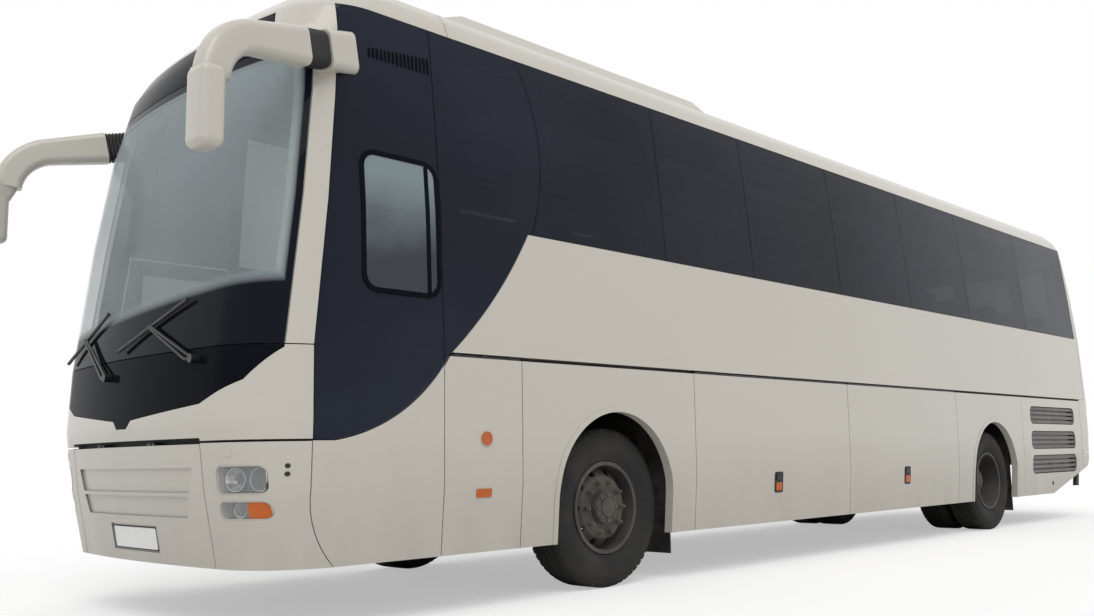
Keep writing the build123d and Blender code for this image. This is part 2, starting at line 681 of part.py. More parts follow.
def hinge_eyes(x_front, x_rear):
    """The eyes around a left flap's rod, on arms from the belt rail."""
    eyes = Part()
    for x in eye_stations(x_front, x_rear):
        eye = rod((x - EYE_HALF, HINGE_Y, BELT_Z), (x + EYE_HALF, HINGE_Y, BELT_Z), EYE_R)
        eye += block(
            x - EYE_HALF, x + EYE_HALF, HALF_WIDTH - WALL - 20, HINGE_Y, BELT_Z - 2, BELT_Z + EYE_R
        )
        eyes += eye - rod((x - 40, HINGE_Y, BELT_Z), (x + 40, HINGE_Y, BELT_Z), HINGE_R + FIT)
    return eyes


nodes["service_flap_left"] = side_flap(QUARTER_X, SERVICE_X) & side_prism(sweep_face(FLAP_GAP + SEAM / 2))
nodes["luggage_flap_left_front"] = side_flap(HOLD_FRONT_X, HOLD_MIDDLE_X)
nodes["luggage_flap_left_rear"] = side_flap(HOLD_MIDDLE_X, HOLD_REAR_X)
nodes["luggage_flap_right_front"] = mirrored(side_flap(HOLD_FRONT_X, HOLD_MIDDLE_X))
nodes["luggage_flap_right_rear"] = mirrored(side_flap(HOLD_MIDDLE_X, MID_DOOR_X))
for x_front, x_rear in (
    (QUARTER_X, SERVICE_X), (HOLD_FRONT_X, HOLD_MIDDLE_X), (HOLD_MIDDLE_X, HOLD_REAR_X)
):
    frame += hinge_eyes(x_front, x_rear)
for x_front, x_rear in ((HOLD_FRONT_X, HOLD_MIDDLE_X), (HOLD_MIDDLE_X, MID_DOOR_X)):
    frame += mirrored(hinge_eyes(x_front, x_rear))

# Flaps in the two ends, each on two short pins under its upper seam
END_EYE_Y = 320
END_PIN_HALF = 45
FRONT_HINGE_X = 5970
LID_HINGE_X = -5988


def end_flap(hinge_x, hinge_z, half, foot_z, facing):
    """A flap in the nose (facing 1) or the tail (facing -1) with its pins."""
    x0, x1 = sorted((facing * 5300, facing * 6500))
    flap = FLAP_SKIN & block(x0, x1, -half, half, foot_z, hinge_z - FLAP_TOP_GAP)
    for y in (-END_EYE_Y, END_EYE_Y):
        pin = rod((hinge_x, y - END_PIN_HALF, hinge_z), (hinge_x, y + END_PIN_HALF, hinge_z), HINGE_R)
        post = block(
            hinge_x - TONGUE_HALF,
            hinge_x + TONGUE_HALF,
            y - END_PIN_HALF,
            y + END_PIN_HALF,
            hinge_z - 30,
            hinge_z,
        )
        clear = EYE_HALF + EYE_CLEAR
        post -= block(x0, x1, y - clear, y + clear, hinge_z - FLAP_TOP_GAP, hinge_z + 20)
        flap += post
        flap += pin
    return flap


def end_eyes(hinge_x, hinge_z, facing):
    """The eyes around an end flap's pins, on arms from the rail behind."""
    eyes = Part()
    for y in (-END_EYE_Y, END_EYE_Y):
        eye = rod((hinge_x, y - EYE_HALF, hinge_z), (hinge_x, y + EYE_HALF, hinge_z), EYE_R)
        x0, x1 = sorted((hinge_x, hinge_x - facing * 75))
        eye += block(x0, x1, y - EYE_HALF, y + EYE_HALF, hinge_z - 2, hinge_z + EYE_R)
        eyes += eye - rod((hinge_x, y - 60, hinge_z), (hinge_x, y + 60, hinge_z), HINGE_R + FIT)
    return eyes


front_flap = end_flap(FRONT_HINGE_X, BONNET_Z, FLAP_HALF, 0, 1)
# Two shallow bands are pressed into the front flap, above a seat for the plate
BAND_DEPTH = 14
BAND_SKIN = OUTER - hull(BAND_DEPTH)
# columns: lower z, upper z, half width at the lower and the upper edge
FLAP_BANDS = [(700, 826, 668, 715), (572, 680, 620, 660)]
for low_z, high_z, low_half, high_half in FLAP_BANDS:
    band = polygon((-low_half, low_z), (low_half, low_z), (high_half, high_z), (-high_half, high_z))
    front_flap -= BAND_SKIN & front_prism(band, 5300, 6500)
PLATE_SEAT = (285, 378, 524)
plate_seat = block(5300, 6500, -PLATE_SEAT[0], PLATE_SEAT[0], PLATE_SEAT[1], PLATE_SEAT[2])
front_flap -= BAND_SKIN & plate_seat
nodes["front_flap"] = front_flap

# Air slots across the engine lid, closed by a screen behind
engine_lid = end_flap(LID_HINGE_X, LID_TOP_Z, LID_HALF, LID_FOOT_Z, -1)
SLOT_HALF = 620
SLOT_H = 26
SLOT_PITCH = 58
SLOT_LOW_Z = 900
SLOT_COUNT = 7
slot_skin = OUTER - hull(WALL / 2)
for number in range(SLOT_COUNT):
    slot_z = SLOT_LOW_Z + number * SLOT_PITCH
    engine_lid -= slot_skin & block(-6500, -5500, -SLOT_HALF, SLOT_HALF, slot_z, slot_z + SLOT_H)
nodes["engine_lid"] = engine_lid
frame += end_eyes(FRONT_HINGE_X, BONNET_Z, 1)
frame += end_eyes(LID_HINGE_X, LID_TOP_Z, -1)
mask_cut = block(5300, 6500, -FLAP_HALF - FLAP_GAP, FLAP_HALF + FLAP_GAP, 900, BONNET_Z + BONNET_GROOVE)
nodes["front_mask"] = nodes["front_mask"] - mask_cut
lid_cut = block(
    -6500, -5600, -LID_HALF - FLAP_GAP, LID_HALF + FLAP_GAP, LID_TOP_Z - 40, LID_TOP_Z + LID_GROOVE
)
nodes["rear_wall"] = nodes["rear_wall"] - lid_cut

# Doors: a leaf in the skin, its pane, and a turning column whose arms hold the leaf
DOOR_SKIN = OUTER - hull(WALL - FLAP_BACK_GAP)
DOOR_PANE_REBATE = hull(GLASS + FIT)
# columns: name, rear edge, front edge, upper edge, window's lower and upper edge, direction of opening
DOORS = [
    ("door_front", QUARTER_X, DOOR_FRONT_X, DOOR_TOP_Z, 900, 2170, 1),
    ("door_middle", HOLD_REAR_X + 30, MID_DOOR_X, MID_DOOR_TOP_Z, 1500, 2030, -1),
]
ARM_HEIGHTS = (520, 800)
LUG_CLEAR = 6
LUG_H = 12
LUG_HALF = 22
INSIDE_DOOR = hull(GLASS * 3)
STAIR_FLOOR_Z = 400
BEARING_H = 60
COLUMN_FOOT_Z = STAIR_FLOOR_Z + 20


def door_column_x(rear_x, front_x, way):
    """The column stands just inside the edge that the leaf moves towards."""
    return front_x - COLUMN_SET if way > 0 else rear_x + COLUMN_SET


for name, rear_x, front_x, top_z, pane_low, pane_high, way in DOORS:
    x0 = rear_x + FLAP_GAP - SEAM / 2 + 3
    x1 = front_x - FLAP_GAP
    if way < 0:
        x0 += FLAP_GAP
    leaf = DOOR_SKIN & block(x0, x1, -REACH, 0, DOOR_FOOT_Z, top_z - 3)
    if way > 0:
        leaf &= behind(PILLAR_EDGE, 0, top_z, FLAP_GAP + SEAM)
    edge = 70
    pane_front_x = min(x1, edge_at(PILLAR_EDGE, pane_high) - FLAP_GAP) - edge
    pane_zone = block(x0 + edge, pane_front_x, -REACH, 0, pane_low, pane_high)
    rebate = block(x0 + edge - 2, pane_front_x + 2, -REACH, 0, pane_low - 2, pane_high + 2)
    sight = block(x0 + edge + 30, pane_front_x - 30, -REACH, 0, pane_low + 30, pane_high - 30)
    leaf = leaf - ((OUTER - DOOR_PANE_REBATE) & rebate) - sight
    column_x = door_column_x(rear_x, front_x, way)
    tip_x = column_x - way * DOOR_REACH
    column = rod((column_x, -COLUMN_Y, COLUMN_FOOT_Z), (column_x, -COLUMN_Y, top_z - 60), COLUMN_R)
    elbow_y = -COLUMN_Y + GOOSENECK
    for z in ARM_HEIGHTS:
        low = z - ARM_THICK / 2
        high = z + ARM_THICK / 2
        arm = block(column_x - ARM_HALF, column_x + ARM_HALF, -COLUMN_Y, elbow_y, low, high)
        arm += Pos(column_x, elbow_y, z) * Cylinder(ARM_HALF, ARM_THICK)
        slant = atan2(-COLUMN_Y - elbow_y, tip_x - column_x)
        normal = (-ARM_HALF * sin(slant), ARM_HALF * cos(slant))
        corners = [
            (column_x + normal[0], elbow_y + normal[1]),
            (column_x - normal[0], elbow_y - normal[1]),
            (tip_x - normal[0], -COLUMN_Y - normal[1]),
            (tip_x + normal[0], -COLUMN_Y + normal[1]),
        ]
        arm += extrude(Plane.XY.offset(low) * polygon(*corners), amount=ARM_THICK)
        arm += Pos(tip_x, -COLUMN_Y, z) * Cylinder(ARM_HALF + 8, ARM_THICK)
        arm -= Pos(tip_x, -COLUMN_Y, z) * Cylinder(DOOR_PIN_R + FIT, ARM_THICK * 2)
        column += arm
        pin_low = low - LUG_CLEAR - LUG_H
        for lug_z in (pin_low, high + LUG_CLEAR):
            lug = block(
                tip_x - LUG_HALF, tip_x + LUG_HALF, -half_width_at(z), -COLUMN_Y, lug_z, lug_z + LUG_H
            )
            lug += Pos(tip_x, -COLUMN_Y, lug_z + LUG_H / 2) * Cylinder(LUG_HALF, LUG_H)
            leaf += lug & INSIDE_DOOR
        leaf += Pos(tip_x, -COLUMN_Y, z) * Cylinder(DOOR_PIN_R, 2 * (z - pin_low))
    nodes[name + "_leaf"] = leaf
    nodes[name + "_glass"] = GLASS_SKIN & pane_zone
    nodes[name + "_column"] = column

# Passenger floor, driver's floor and the two stairwells
PLATE = 20
DRIVER_FLOOR_Z = 960
STAIR_INNER_Y = -300
deck = block(-5700, QUARTER_X - 45, -REACH, REACH, FLOOR_Z - 40, FLOOR_Z)
mid_well = block(HOLD_REAR_X + 25, MID_DOOR_X + 10, -REACH, STAIR_INNER_Y - 100, 300, FLOOR_Z + 20)
deck -= mid_well
deck += block(QUARTER_X - 65, QUARTER_X - 45, -REACH, REACH, STAIR_FLOOR_Z, FLOOR_Z)
deck += block(QUARTER_X - 45, 6000, STAIR_INNER_Y, REACH, DRIVER_FLOOR_Z - 40, DRIVER_FLOOR_Z)
deck += block(QUARTER_X - 45, 6000, STAIR_INNER_Y, STAIR_INNER_Y + PLATE, STAIR_FLOOR_Z, DRIVER_FLOOR_Z)
deck += block(QUARTER_X - 65, 6000, -REACH, STAIR_INNER_Y + PLATE, STAIR_FLOOR_Z - 20, STAIR_FLOOR_Z)
deck += block(QUARTER_X - 45, QUARTER_X + 330, -700, STAIR_INNER_Y, STAIR_FLOOR_Z, 680)
well_x = (HOLD_REAR_X + 25, MID_DOOR_X + 10)
deck += block(well_x[0] - PLATE, well_x[0], -REACH, STAIR_INNER_Y - 100, STAIR_FLOOR_Z, FLOOR_Z)
deck += block(well_x[1], well_x[1] + PLATE, -REACH, STAIR_INNER_Y - 100, STAIR_FLOOR_Z, FLOOR_Z)
deck += block(
    well_x[0] - PLATE, well_x[1] + PLATE, STAIR_INNER_Y - 100, STAIR_INNER_Y - 80, STAIR_FLOOR_Z, FLOOR_Z
)
deck += block(
    well_x[0] - PLATE, well_x[1] + PLATE, -REACH, STAIR_INNER_Y - 80, STAIR_FLOOR_Z - 20, STAIR_FLOOR_Z
)
deck += block(well_x[0], well_x[1], -700, STAIR_INNER_Y - 100, STAIR_FLOOR_Z, 720)
deck = CABIN & deck
# Bearings of the door columns
for name, rear_x, front_x, top_z, pane_low, pane_high, way in DOORS:
    column_x = door_column_x(rear_x, front_x, way)
    foot = Pos(column_x, -COLUMN_Y, STAIR_FLOOR_Z + BEARING_H / 2) * Cylinder(COLUMN_R + 16, BEARING_H)
    bore_foot = (column_x, -COLUMN_Y, COLUMN_FOOT_Z - FIT)
    foot -= rod(bore_foot, (column_x, -COLUMN_Y, STAIR_FLOOR_Z + 2 * BEARING_H), COLUMN_R + FIT)
    deck += foot
nodes["floor_deck"] = deck

# Underframe: luggage floor between its bulkheads, rails ahead and behind, wheel housings
RAIL_IN_Y = 330
RAIL_OUT_Y = 430
RAIL_Z = (640, 800)
HOLD_FLOOR_Z = 420
under = block(HOLD_REAR_X - 45, HOLD_FRONT_X + 45, -1150, 1150, HOLD_FLOOR_Z - 40, HOLD_FLOOR_Z)
under -= block(well_x[0] - PLATE - 2, well_x[1] + PLATE + 2, -REACH, STAIR_INNER_Y - 78, 0, 1000)
under += block(HOLD_FRONT_X + 20, HOLD_FRONT_X + 45, -1150, 1150, HOLD_FLOOR_Z - 40, FLOOR_Z - 40)
under += block(HOLD_REAR_X - 45, HOLD_REAR_X - 20, -1150, 1150, HOLD_FLOOR_Z - 40, FLOOR_Z - 40)
for y0, y1 in ((RAIL_IN_Y, RAIL_OUT_Y), (-RAIL_OUT_Y, -RAIL_IN_Y)):
    under += block(HOLD_FRONT_X + 45, QUARTER_X - 65, y0, y1, RAIL_Z[0], RAIL_Z[1])
    under += block(-5500, HOLD_REAR_X - 45, y0, y1, RAIL_Z[0], RAIL_Z[1])
for x in (-3800, -5400):
    under += block(x - 40, x + 40, -1100, 1100, RAIL_Z[0] + 40, RAIL_Z[1] - 40)
under += block(QUARTER_X - 45, 5500, RAIL_IN_Y, RAIL_OUT_Y, RAIL_Z[0], RAIL_Z[1])
under += block(QUARTER_X - 45, 5500, -250, -150, RAIL_Z[0], RAIL_Z[1])
under += block(5420, 5500, -250, RAIL_OUT_Y, RAIL_Z[0], RAIL_Z[1])
under = CABIN & under
HOUSING_TOP_Z = 1190


def housing(axle_x, inner_y, inner_low):
    """A left wheel housing of plates: two ends, a top and an inner wall."""
    x0 = axle_x - HOUSING_HALF
    x1 = axle_x + HOUSING_HALF
    tub = block(x0 - PLATE, x0, inner_y, 1150, 400, HOUSING_TOP_Z)
    tub += block(x1, x1 + PLATE, inner_y, 1150, 400, HOUSING_TOP_Z)
    tub += block(x0 - PLATE, x1 + PLATE, inner_y, 1150, HOUSING_TOP_Z, HOUSING_TOP_Z + PLATE)
    tub += block(x0 - PLATE, x1 + PLATE, inner_y - PLATE, inner_y, inner_low, HOUSING_TOP_Z + PLATE)
    return tub


housings = []
for axle_x, inner_y, inner_low in (
    (FRONT_AXLE_X, HOUSING_INNER_Y, 640), (REAR_AXLE_X, REAR_HOUSING_INNER_Y, 640)
):
    tub = housing(axle_x, inner_y, inner_low)
    tub += block(axle_x - 60, axle_x + 60, RAIL_OUT_Y, inner_y, RAIL_Z[0], RAIL_Z[1])
    housings += [tub, mirrored(tub)]
nodes["wheel_housings"] = group(housings)
# Towing eye on the left front rail's end, behind the front flap
TOW_EYE = (5610, (RAIL_IN_Y + RAIL_OUT_Y) / 2, RAIL_Z[0] + 20)
TOW_EYE_R = 42
TOW_BORE_R = 20
TOW_T = 40
under += block(
    5500, TOW_EYE[0], TOW_EYE[1] - TOW_EYE_R, TOW_EYE[1] + TOW_EYE_R, RAIL_Z[0], RAIL_Z[0] + TOW_T
)
under += Pos(*TOW_EYE) * Cylinder(TOW_EYE_R, TOW_T)
under -= Pos(*TOW_EYE) * Cylinder(TOW_BORE_R, TOW_T * 2)
nodes["underframe"] = under

# Front axle beam, its fists on the kingpins and its spring seats
FIST_R = 46
FIST_Z = (430, 600)
BEAM_Z = (405, 485)
front_axle = block(FRONT_AXLE_X - 50, FRONT_AXLE_X + 50, -KINGPIN_Y, KINGPIN_Y, BEAM_Z[0] + 25, BEAM_Z[1])
for sign in (-1, 1):
    fist_middle = (FIST_Z[0] + FIST_Z[1]) / 2
    front_axle += Pos(FRONT_AXLE_X, sign * KINGPIN_Y, fist_middle) * Cylinder(
        FIST_R, FIST_Z[1] - FIST_Z[0]
    )
    spring_y = sign * (RAIL_IN_Y + RAIL_OUT_Y) / 2
    spring_middle = (BEAM_Z[1] + RAIL_Z[0]) / 2
    front_axle += Pos(FRONT_AXLE_X, spring_y, spring_middle) * Cylinder(48, RAIL_Z[0] - BEAM_Z[1])
for sign in (-1, 1):
    front_axle -= Pos(FRONT_AXLE_X, sign * KINGPIN_Y, 515) * Cylinder(KINGPIN_R + RUN_FIT, 400)
nodes["front_axle"] = front_axle

# Steering knuckles: a fork on the kingpin, the stub that carries the wheel, a steering arm
FORK_GAP = 6
LUG_T = 34
STUB_END_Y = 1135
TIE_Z = 430 - FORK_GAP - LUG_T / 2
TIE_PIN_R = 12
TIE_X = FRONT_AXLE_X - ARM_LENGTH


def knuckle():
    """The left knuckle."""
    fork = Part()
    for z0 in (FIST_Z[0] - FORK_GAP - LUG_T, FIST_Z[1] + FORK_GAP):
        fork += Pos(FRONT_AXLE_X, KINGPIN_Y, z0 + LUG_T / 2) * Cylinder(FIST_R, LUG_T)
        fork += block(FRONT_AXLE_X - 40, FRONT_AXLE_X + 40, KINGPIN_Y, KINGPIN_Y + 85, z0, z0 + LUG_T)
    low = FIST_Z[0] - FORK_GAP - LUG_T
    high = FIST_Z[1] + FORK_GAP + LUG_T
    fork += block(FRONT_AXLE_X - 60, FRONT_AXLE_X + 60, KINGPIN_Y + FIST_R + 8, KINGPIN_Y + 85, low, high)
    fork += Pos(FRONT_AXLE_X, KINGPIN_Y, (low + high) / 2) * Cylinder(KINGPIN_R, high - low)
    fork += rod((FRONT_AXLE_X, KINGPIN_Y + 80, AXLE_Z), (FRONT_AXLE_X, STUB_END_Y, AXLE_Z), STUB_R)
    fork += block(TIE_X, FRONT_AXLE_X, KINGPIN_Y - 20, KINGPIN_Y + 20, low, low + LUG_T)
    fork += Pos(TIE_X, KINGPIN_Y, low + LUG_T / 2) * Cylinder(26, LUG_T)
    fork += Pos(TIE_X, KINGPIN_Y, low - 25) * Cylinder(TIE_PIN_R, 50)
    return fork


nodes["knuckle_left"] = knuckle()
nodes["knuckle_right"] = mirrored(knuckle())
tie_low = FIST_Z[0] - FORK_GAP - LUG_T - FORK_GAP
tie_z = tie_low - 16
tie = rod((TIE_X, -KINGPIN_Y + 20, tie_z), (TIE_X, KINGPIN_Y - 20, tie_z), 14)
for sign, pin_gap in ((1, RUN_FIT), (-1, 3)):
    tie += Pos(TIE_X, sign * KINGPIN_Y, tie_z) * Cylinder(26, 30)
    tie -= Pos(TIE_X, sign * KINGPIN_Y, tie_z) * Cylinder(TIE_PIN_R + pin_gap, 60)
nodes["tie_rod"] = tie

# Rear axle: a tube with its differential, spindles and spring seats
TUBE_R = 88
SPINDLE_R = 60
SPINDLE_END_Y = 1020
rear_axle = rod((REAR_AXLE_X, -560, AXLE_Z), (REAR_AXLE_X, 560, AXLE_Z), TUBE_R)
rear_axle += rod((REAR_AXLE_X, -SPINDLE_END_Y, AXLE_Z), (REAR_AXLE_X, SPINDLE_END_Y, AXLE_Z), SPINDLE_R)
rear_axle += Pos(REAR_AXLE_X, 0, AXLE_Z) * Sphere(205)
for sign in (-1, 1):
    spring_y = sign * (RAIL_IN_Y + RAIL_OUT_Y) / 2
    rear_axle += Pos(REAR_AXLE_X, spring_y, (AXLE_Z + RAIL_Z[0]) / 2) * Cylinder(48, RAIL_Z[0] - AXLE_Z)
nodes["rear_axle"] = rear_axle

# Wheels: all turned about the axle line


def turned(outline):
    """A face drawn in (radius, y), turned about the Y axis."""
    return revolve(outline, Axis.Y)


def tyre(y):
    """A tyre whose middle lies at y."""
    bead_top = RIM_FLANGE_R + 2
    face = make_face(
        [
            Line((BEAD_R, y - BEAD_HALF), (BEAD_R, y + BEAD_HALF)),
            Line((BEAD_R, y + BEAD_HALF), (bead_top, y + BEAD_HALF)),
            ThreePointArc(
                (bead_top, y + BEAD_HALF), (BELLY_R, y + TYRE_HALF), (SHOULDER_R, y + TREAD_HALF + 8)
            ),
            Line((SHOULDER_R, y + TREAD_HALF + 8), (TYRE_R, y + TREAD_HALF - 14)),
            Line((TYRE_R, y + TREAD_HALF - 14), (TYRE_R, y - TREAD_HALF + 14)),
            Line((TYRE_R, y - TREAD_HALF + 14), (SHOULDER_R, y - TREAD_HALF - 8)),
            ThreePointArc(
                (SHOULDER_R, y - TREAD_HALF - 8), (BELLY_R, y - TYRE_HALF), (bead_top, y - BEAD_HALF)
            ),
            Line((bead_top, y - BEAD_HALF), (BEAD_R, y - BEAD_HALF)),
        ]
    )
    return turned(face)


RIM_T = 14
SEAT_R = BEAD_R - FIT


def rim(y):
    """The barrel of a rim with a flange beside each bead."""
    half = BEAD_HALF + FIT
    barrel = polygon(
        (SEAT_R - RIM_T, y - half), (SEAT_R, y - half), (SEAT_R, y + half), (SEAT_R - RIM_T, y + half)
    )
    ring = turned(barrel)
    for sign in (-1, 1):
        y0 = y + sign * half
        y1 = y + sign * (half + 12)
        ring += turned(
            polygon((SEAT_R - RIM_T, y0), (RIM_FLANGE_R, y0), (RIM_FLANGE_R, y1), (SEAT_R - RIM_T, y1))
        )
    return ring


def ring_of(count, radius, hole_r, y0, y1):
    """Round bars set on a circle about the axle line."""
    bars = Part()
    for number in range(count):
        turn = 2 * pi * number / count
        x = radius * cos(turn)
        z = radius * sin(turn)
        bars += rod((x, y0, z), (x, y1, z), hole_r)
    return bars


HAND_HOLES = 10
HAND_HOLE_R = 26
HAND_CIRCLE_R = 222
DISC_T = 16
FRONT_DISC_Y = 1098
front_disc = polygon(
    (STUB_R + RUN_FIT, 985),
    (HUB_R, 985),
    (HUB_R, FRONT_DISC_Y),
    (195, FRONT_DISC_Y),
    (SEAT_R - RIM_T + 2, FRONT_DISC_Y - 75),
    (SEAT_R - RIM_T + 2, FRONT_DISC_Y - 75 + DISC_T),
    (200, FRONT_DISC_Y + DISC_T),
    (110, FRONT_DISC_Y + DISC_T),
    (105, 1150),
    (STUB_R + RUN_FIT, 1150),
)
front_wheel = rim(FRONT_TRACK_HALF) + turned(front_disc)
front_wheel -= ring_of(HAND_HOLES, HAND_CIRCLE_R + 12, HAND_HOLE_R, 900, 1200)
REAR_DISC_Y = 920
rear_disc = polygon(
    (SPINDLE_R + RUN_FIT, 760),
    (HUB_R, 760),
    (HUB_R, REAR_DISC_Y),
    (SEAT_R - RIM_T + 2, REAR_DISC_Y),
    (SEAT_R - RIM_T + 2, REAR_DISC_Y + DISC_T),
    (135, REAR_DISC_Y + DISC_T),
    (125, 1045),
    (SPINDLE_R + RUN_FIT, 1045),
)
spacer_y = (REAR_INNER_Y + BEAD_HALF, REAR_OUTER_Y - BEAD_HALF)
spacer = polygon(
    (SEAT_R - RIM_T, spacer_y[0]),
    (SEAT_R, spacer_y[0]),
    (SEAT_R, spacer_y[1]),
    (SEAT_R - RIM_T, spacer_y[1]),
)
rear_wheel = rim(REAR_OUTER_Y) + rim(REAR_INNER_Y) + turned(rear_disc) + turned(spacer)
rear_wheel -= ring_of(HAND_HOLES, HAND_CIRCLE_R - 10, HAND_HOLE_R, 900, 1000)
front_tyre = tyre(FRONT_TRACK_HALF)
rear_tyres = [tyre(REAR_OUTER_Y), tyre(REAR_INNER_Y)]
front_hub = Pos(FRONT_AXLE_X, 0, AXLE_Z)
rear_hub = Pos(REAR_AXLE_X, 0, AXLE_Z)
nodes["wheel_front_left"] = front_hub * front_wheel
nodes["wheel_front_right"] = front_hub * mirrored(front_wheel)
nodes["wheel_rear_left"] = rear_hub * rear_wheel
nodes["wheel_rear_right"] = rear_hub * mirrored(rear_wheel)
nodes["tyre_front_left"] = front_hub * front_tyre
nodes["tyre_front_right"] = front_hub * mirrored(front_tyre)
nodes["tyre_rear_left"] = rear_hub * group(rear_tyres)
nodes["tyre_rear_right"] = rear_hub * group([mirrored(piece) for piece in rear_tyres])

# Engine at the tail, between the rails
ENGINE = (-5300, -3900, -RAIL_IN_Y, RAIL_IN_Y, 480, 1250)
nodes["engine_block"] = block(*ENGINE)

# Mudflaps under the rear edge of each housing
FLAP_T = 12
flaps = []
for axle_x, y0 in ((FRONT_AXLE_X, 880), (REAR_AXLE_X, 620)):
    x = axle_x - HOUSING_HALF - PLATE
    piece = block(x, x + FLAP_T, y0, 1150, 170, 400)
    flaps += [piece, mirrored(piece)]
nodes["mudflaps"] = group(flaps)

# Seats: a bench for two with its backs, on a pedestal
ROW_PITCH = 790
FIRST_ROW_X = 3700
ROWS = 12
SEAT_OUT_Y = 1040
SEAT_IN_Y = 240
seat_side = polygon(
    (-225, 380), (225, 380), (225, 500), (-120, 500), (-260, 1150), (-350, 1140), (-225, 480)
)
benches = []
for row in range(ROWS):
    x = FIRST_ROW_X - row * ROW_PITCH
    bench = Pos(x, 0, FLOOR_Z) * side_prism(seat_side, SEAT_IN_Y, SEAT_OUT_Y)
    bench += block(x - 150, x + 150, SEAT_IN_Y + 250, SEAT_IN_Y + 330, FLOOR_Z, FLOOR_Z + 390)
    benches.append(bench)
    if not (HOLD_REAR_X - 330 < x < MID_DOOR_X + 380):
        benches.append(mirrored(bench))
nodes["passenger_seats"] = group(benches)

# Driver's place: dashboard, seat and steering wheel
DRIVER_Y = 590
dash_side = polygon(
    (5380, DRIVER_FLOOR_Z), (5560, DRIVER_FLOOR_Z), (5560, 1400), (5300, 1560), (5220, 1500), (5380, 1360)
)
dash = side_prism(dash_side, STAIR_INNER_Y + 30, 1000)
driver_seat = Pos(4980, 0, DRIVER_FLOOR_Z - 60) * side_prism(seat_side, DRIVER_Y - 240, DRIVER_Y + 240)
driver_seat += block(4880, 5080, DRIVER_Y - 120, DRIVER_Y + 120, DRIVER_FLOOR_Z, DRIVER_FLOOR_Z + 330)
nodes["driver_station"] = group([dash, driver_seat])
WHEEL_AT = (5130, DRIVER_Y, 1600)
STEER_TILT = 60
steering = Pos(*WHEEL_AT) * Rot(0, -90 + STEER_TILT, 0) * Torus(220, 17)
wheel_axis = Vector(sin(radians(90 - STEER_TILT)), 0, -cos(radians(90 - STEER_TILT)))
column_end = Vector(*WHEEL_AT) + wheel_axis * 190
steering += rod(WHEEL_AT, tuple(column_end), 28)
spokes = Rot(0, -90 + STEER_TILT, 0) * (Box(30, 440, 12) + Pos(-110, 0, 0) * Box(220, 30, 12))
steering += Pos(*WHEEL_AT) * spokes
nodes["steering_wheel"] = steering

# Wipers and mirrors stand just off the body
GROWN = hull(-FIT)


def front_x(y, z):
    """The outer surface's station at a place on the nose, inside the bow."""
    bow = level_value(z, 5)
    return level_value(z, 2) - bow + sqrt(bow ** 2 - y ** 2)


# columns: pivot y, pivot z, blade's foot and head as (y, z)
WIPERS = [
    (760, 1380, (-60, 1480), (640, 1700)),
    (-200, 1340, (-960, 1480), (-300, 1720)),
]
WIPER_OFF = 28
wipers = []
for pivot_y, pivot_z, foot, head in WIPERS:
    middle = ((foot[0] + head[0]) / 2, (foot[1] + head[1]) / 2)
    wiper = rod(
        (front_x(pivot_y, pivot_z) - 30, pivot_y, pivot_z),
        (front_x(pivot_y, pivot_z) + 45, pivot_y, pivot_z),
        24,
    )
    for shift in (0, 70):
        y = pivot_y - shift
        start = (front_x(y, pivot_z) + WIPER_OFF, y, pivot_z)
        end = (front_x(middle[0], middle[1]) + WIPER_OFF, middle[0] - shift * 0.4, middle[1])
        wiper += rod(start, end, 8)
    tie_start = (front_x(pivot_y, pivot_z) + WIPER_OFF, pivot_y, pivot_z)
    tie_end = (front_x(pivot_y - 70, pivot_z) + WIPER_OFF, pivot_y - 70, pivot_z)
    wiper += rod(tie_start, tie_end, 8)
    blade_foot = (front_x(*foot) + WIPER_OFF, foot[0], foot[1])
    blade_head = (front_x(*head) + WIPER_OFF, head[0], head[1])
    wiper += rod(blade_foot, blade_head, 10)
    wipers.append((Part() + wiper) - GROWN)
nodes["wipers"] = group(wipers)

# Mirrors: at each pillar's head a bracket, rubber bellows and a swan-neck arm that carries the
# head. Bracket, bellows and arm lie in one upright plane, drawn in (distance along it, z).
ARM_FOOT = (5600, 1215, 0)
ARM_HEADING = radians(14.3)
ARM_SLOPE = radians(-12)
ARM_RADIUS = 45
arm_plane = Plane(
    origin=ARM_FOOT,
    x_dir=(cos(ARM_HEADING), sin(ARM_HEADING), 0),
    z_dir=(sin(ARM_HEADING), -cos(ARM_HEADING), 0),
)
# columns: distance along the arm at the near and the far end, height and width at each end
BRACKET = (-290, -100, (236, 150), (216, 140))
BELLOWS = (-99.5, 57.5, (200, 124), (200, 124))
ARM = (58, 400, (208, 138), (172, 120))
ARM_START_Z = 2985
BEND_R = 300
BEND_DEG = 73


def arm_section(distance, tall, wide):
    """The arm's section at a distance along its straight, sloping part."""
    z = ARM_START_Z + (distance - ARM[0]) * sin(ARM_SLOPE) / cos(ARM_SLOPE)
    place = arm_plane.from_local_coords((distance, z, 0))
    along = arm_plane.from_local_coords((cos(ARM_SLOPE), sin(ARM_SLOPE), 0)) - arm_plane.origin
    across = Plane(origin=place, x_dir=arm_plane.z_dir, z_dir=along)
    return across * RectangleRounded(wide, tall, ARM_RADIUS)


def arm_stretch(near, far, near_size, far_size):
    return loft([arm_section(near, *near_size), arm_section(far, *far_size)], ruled=True)


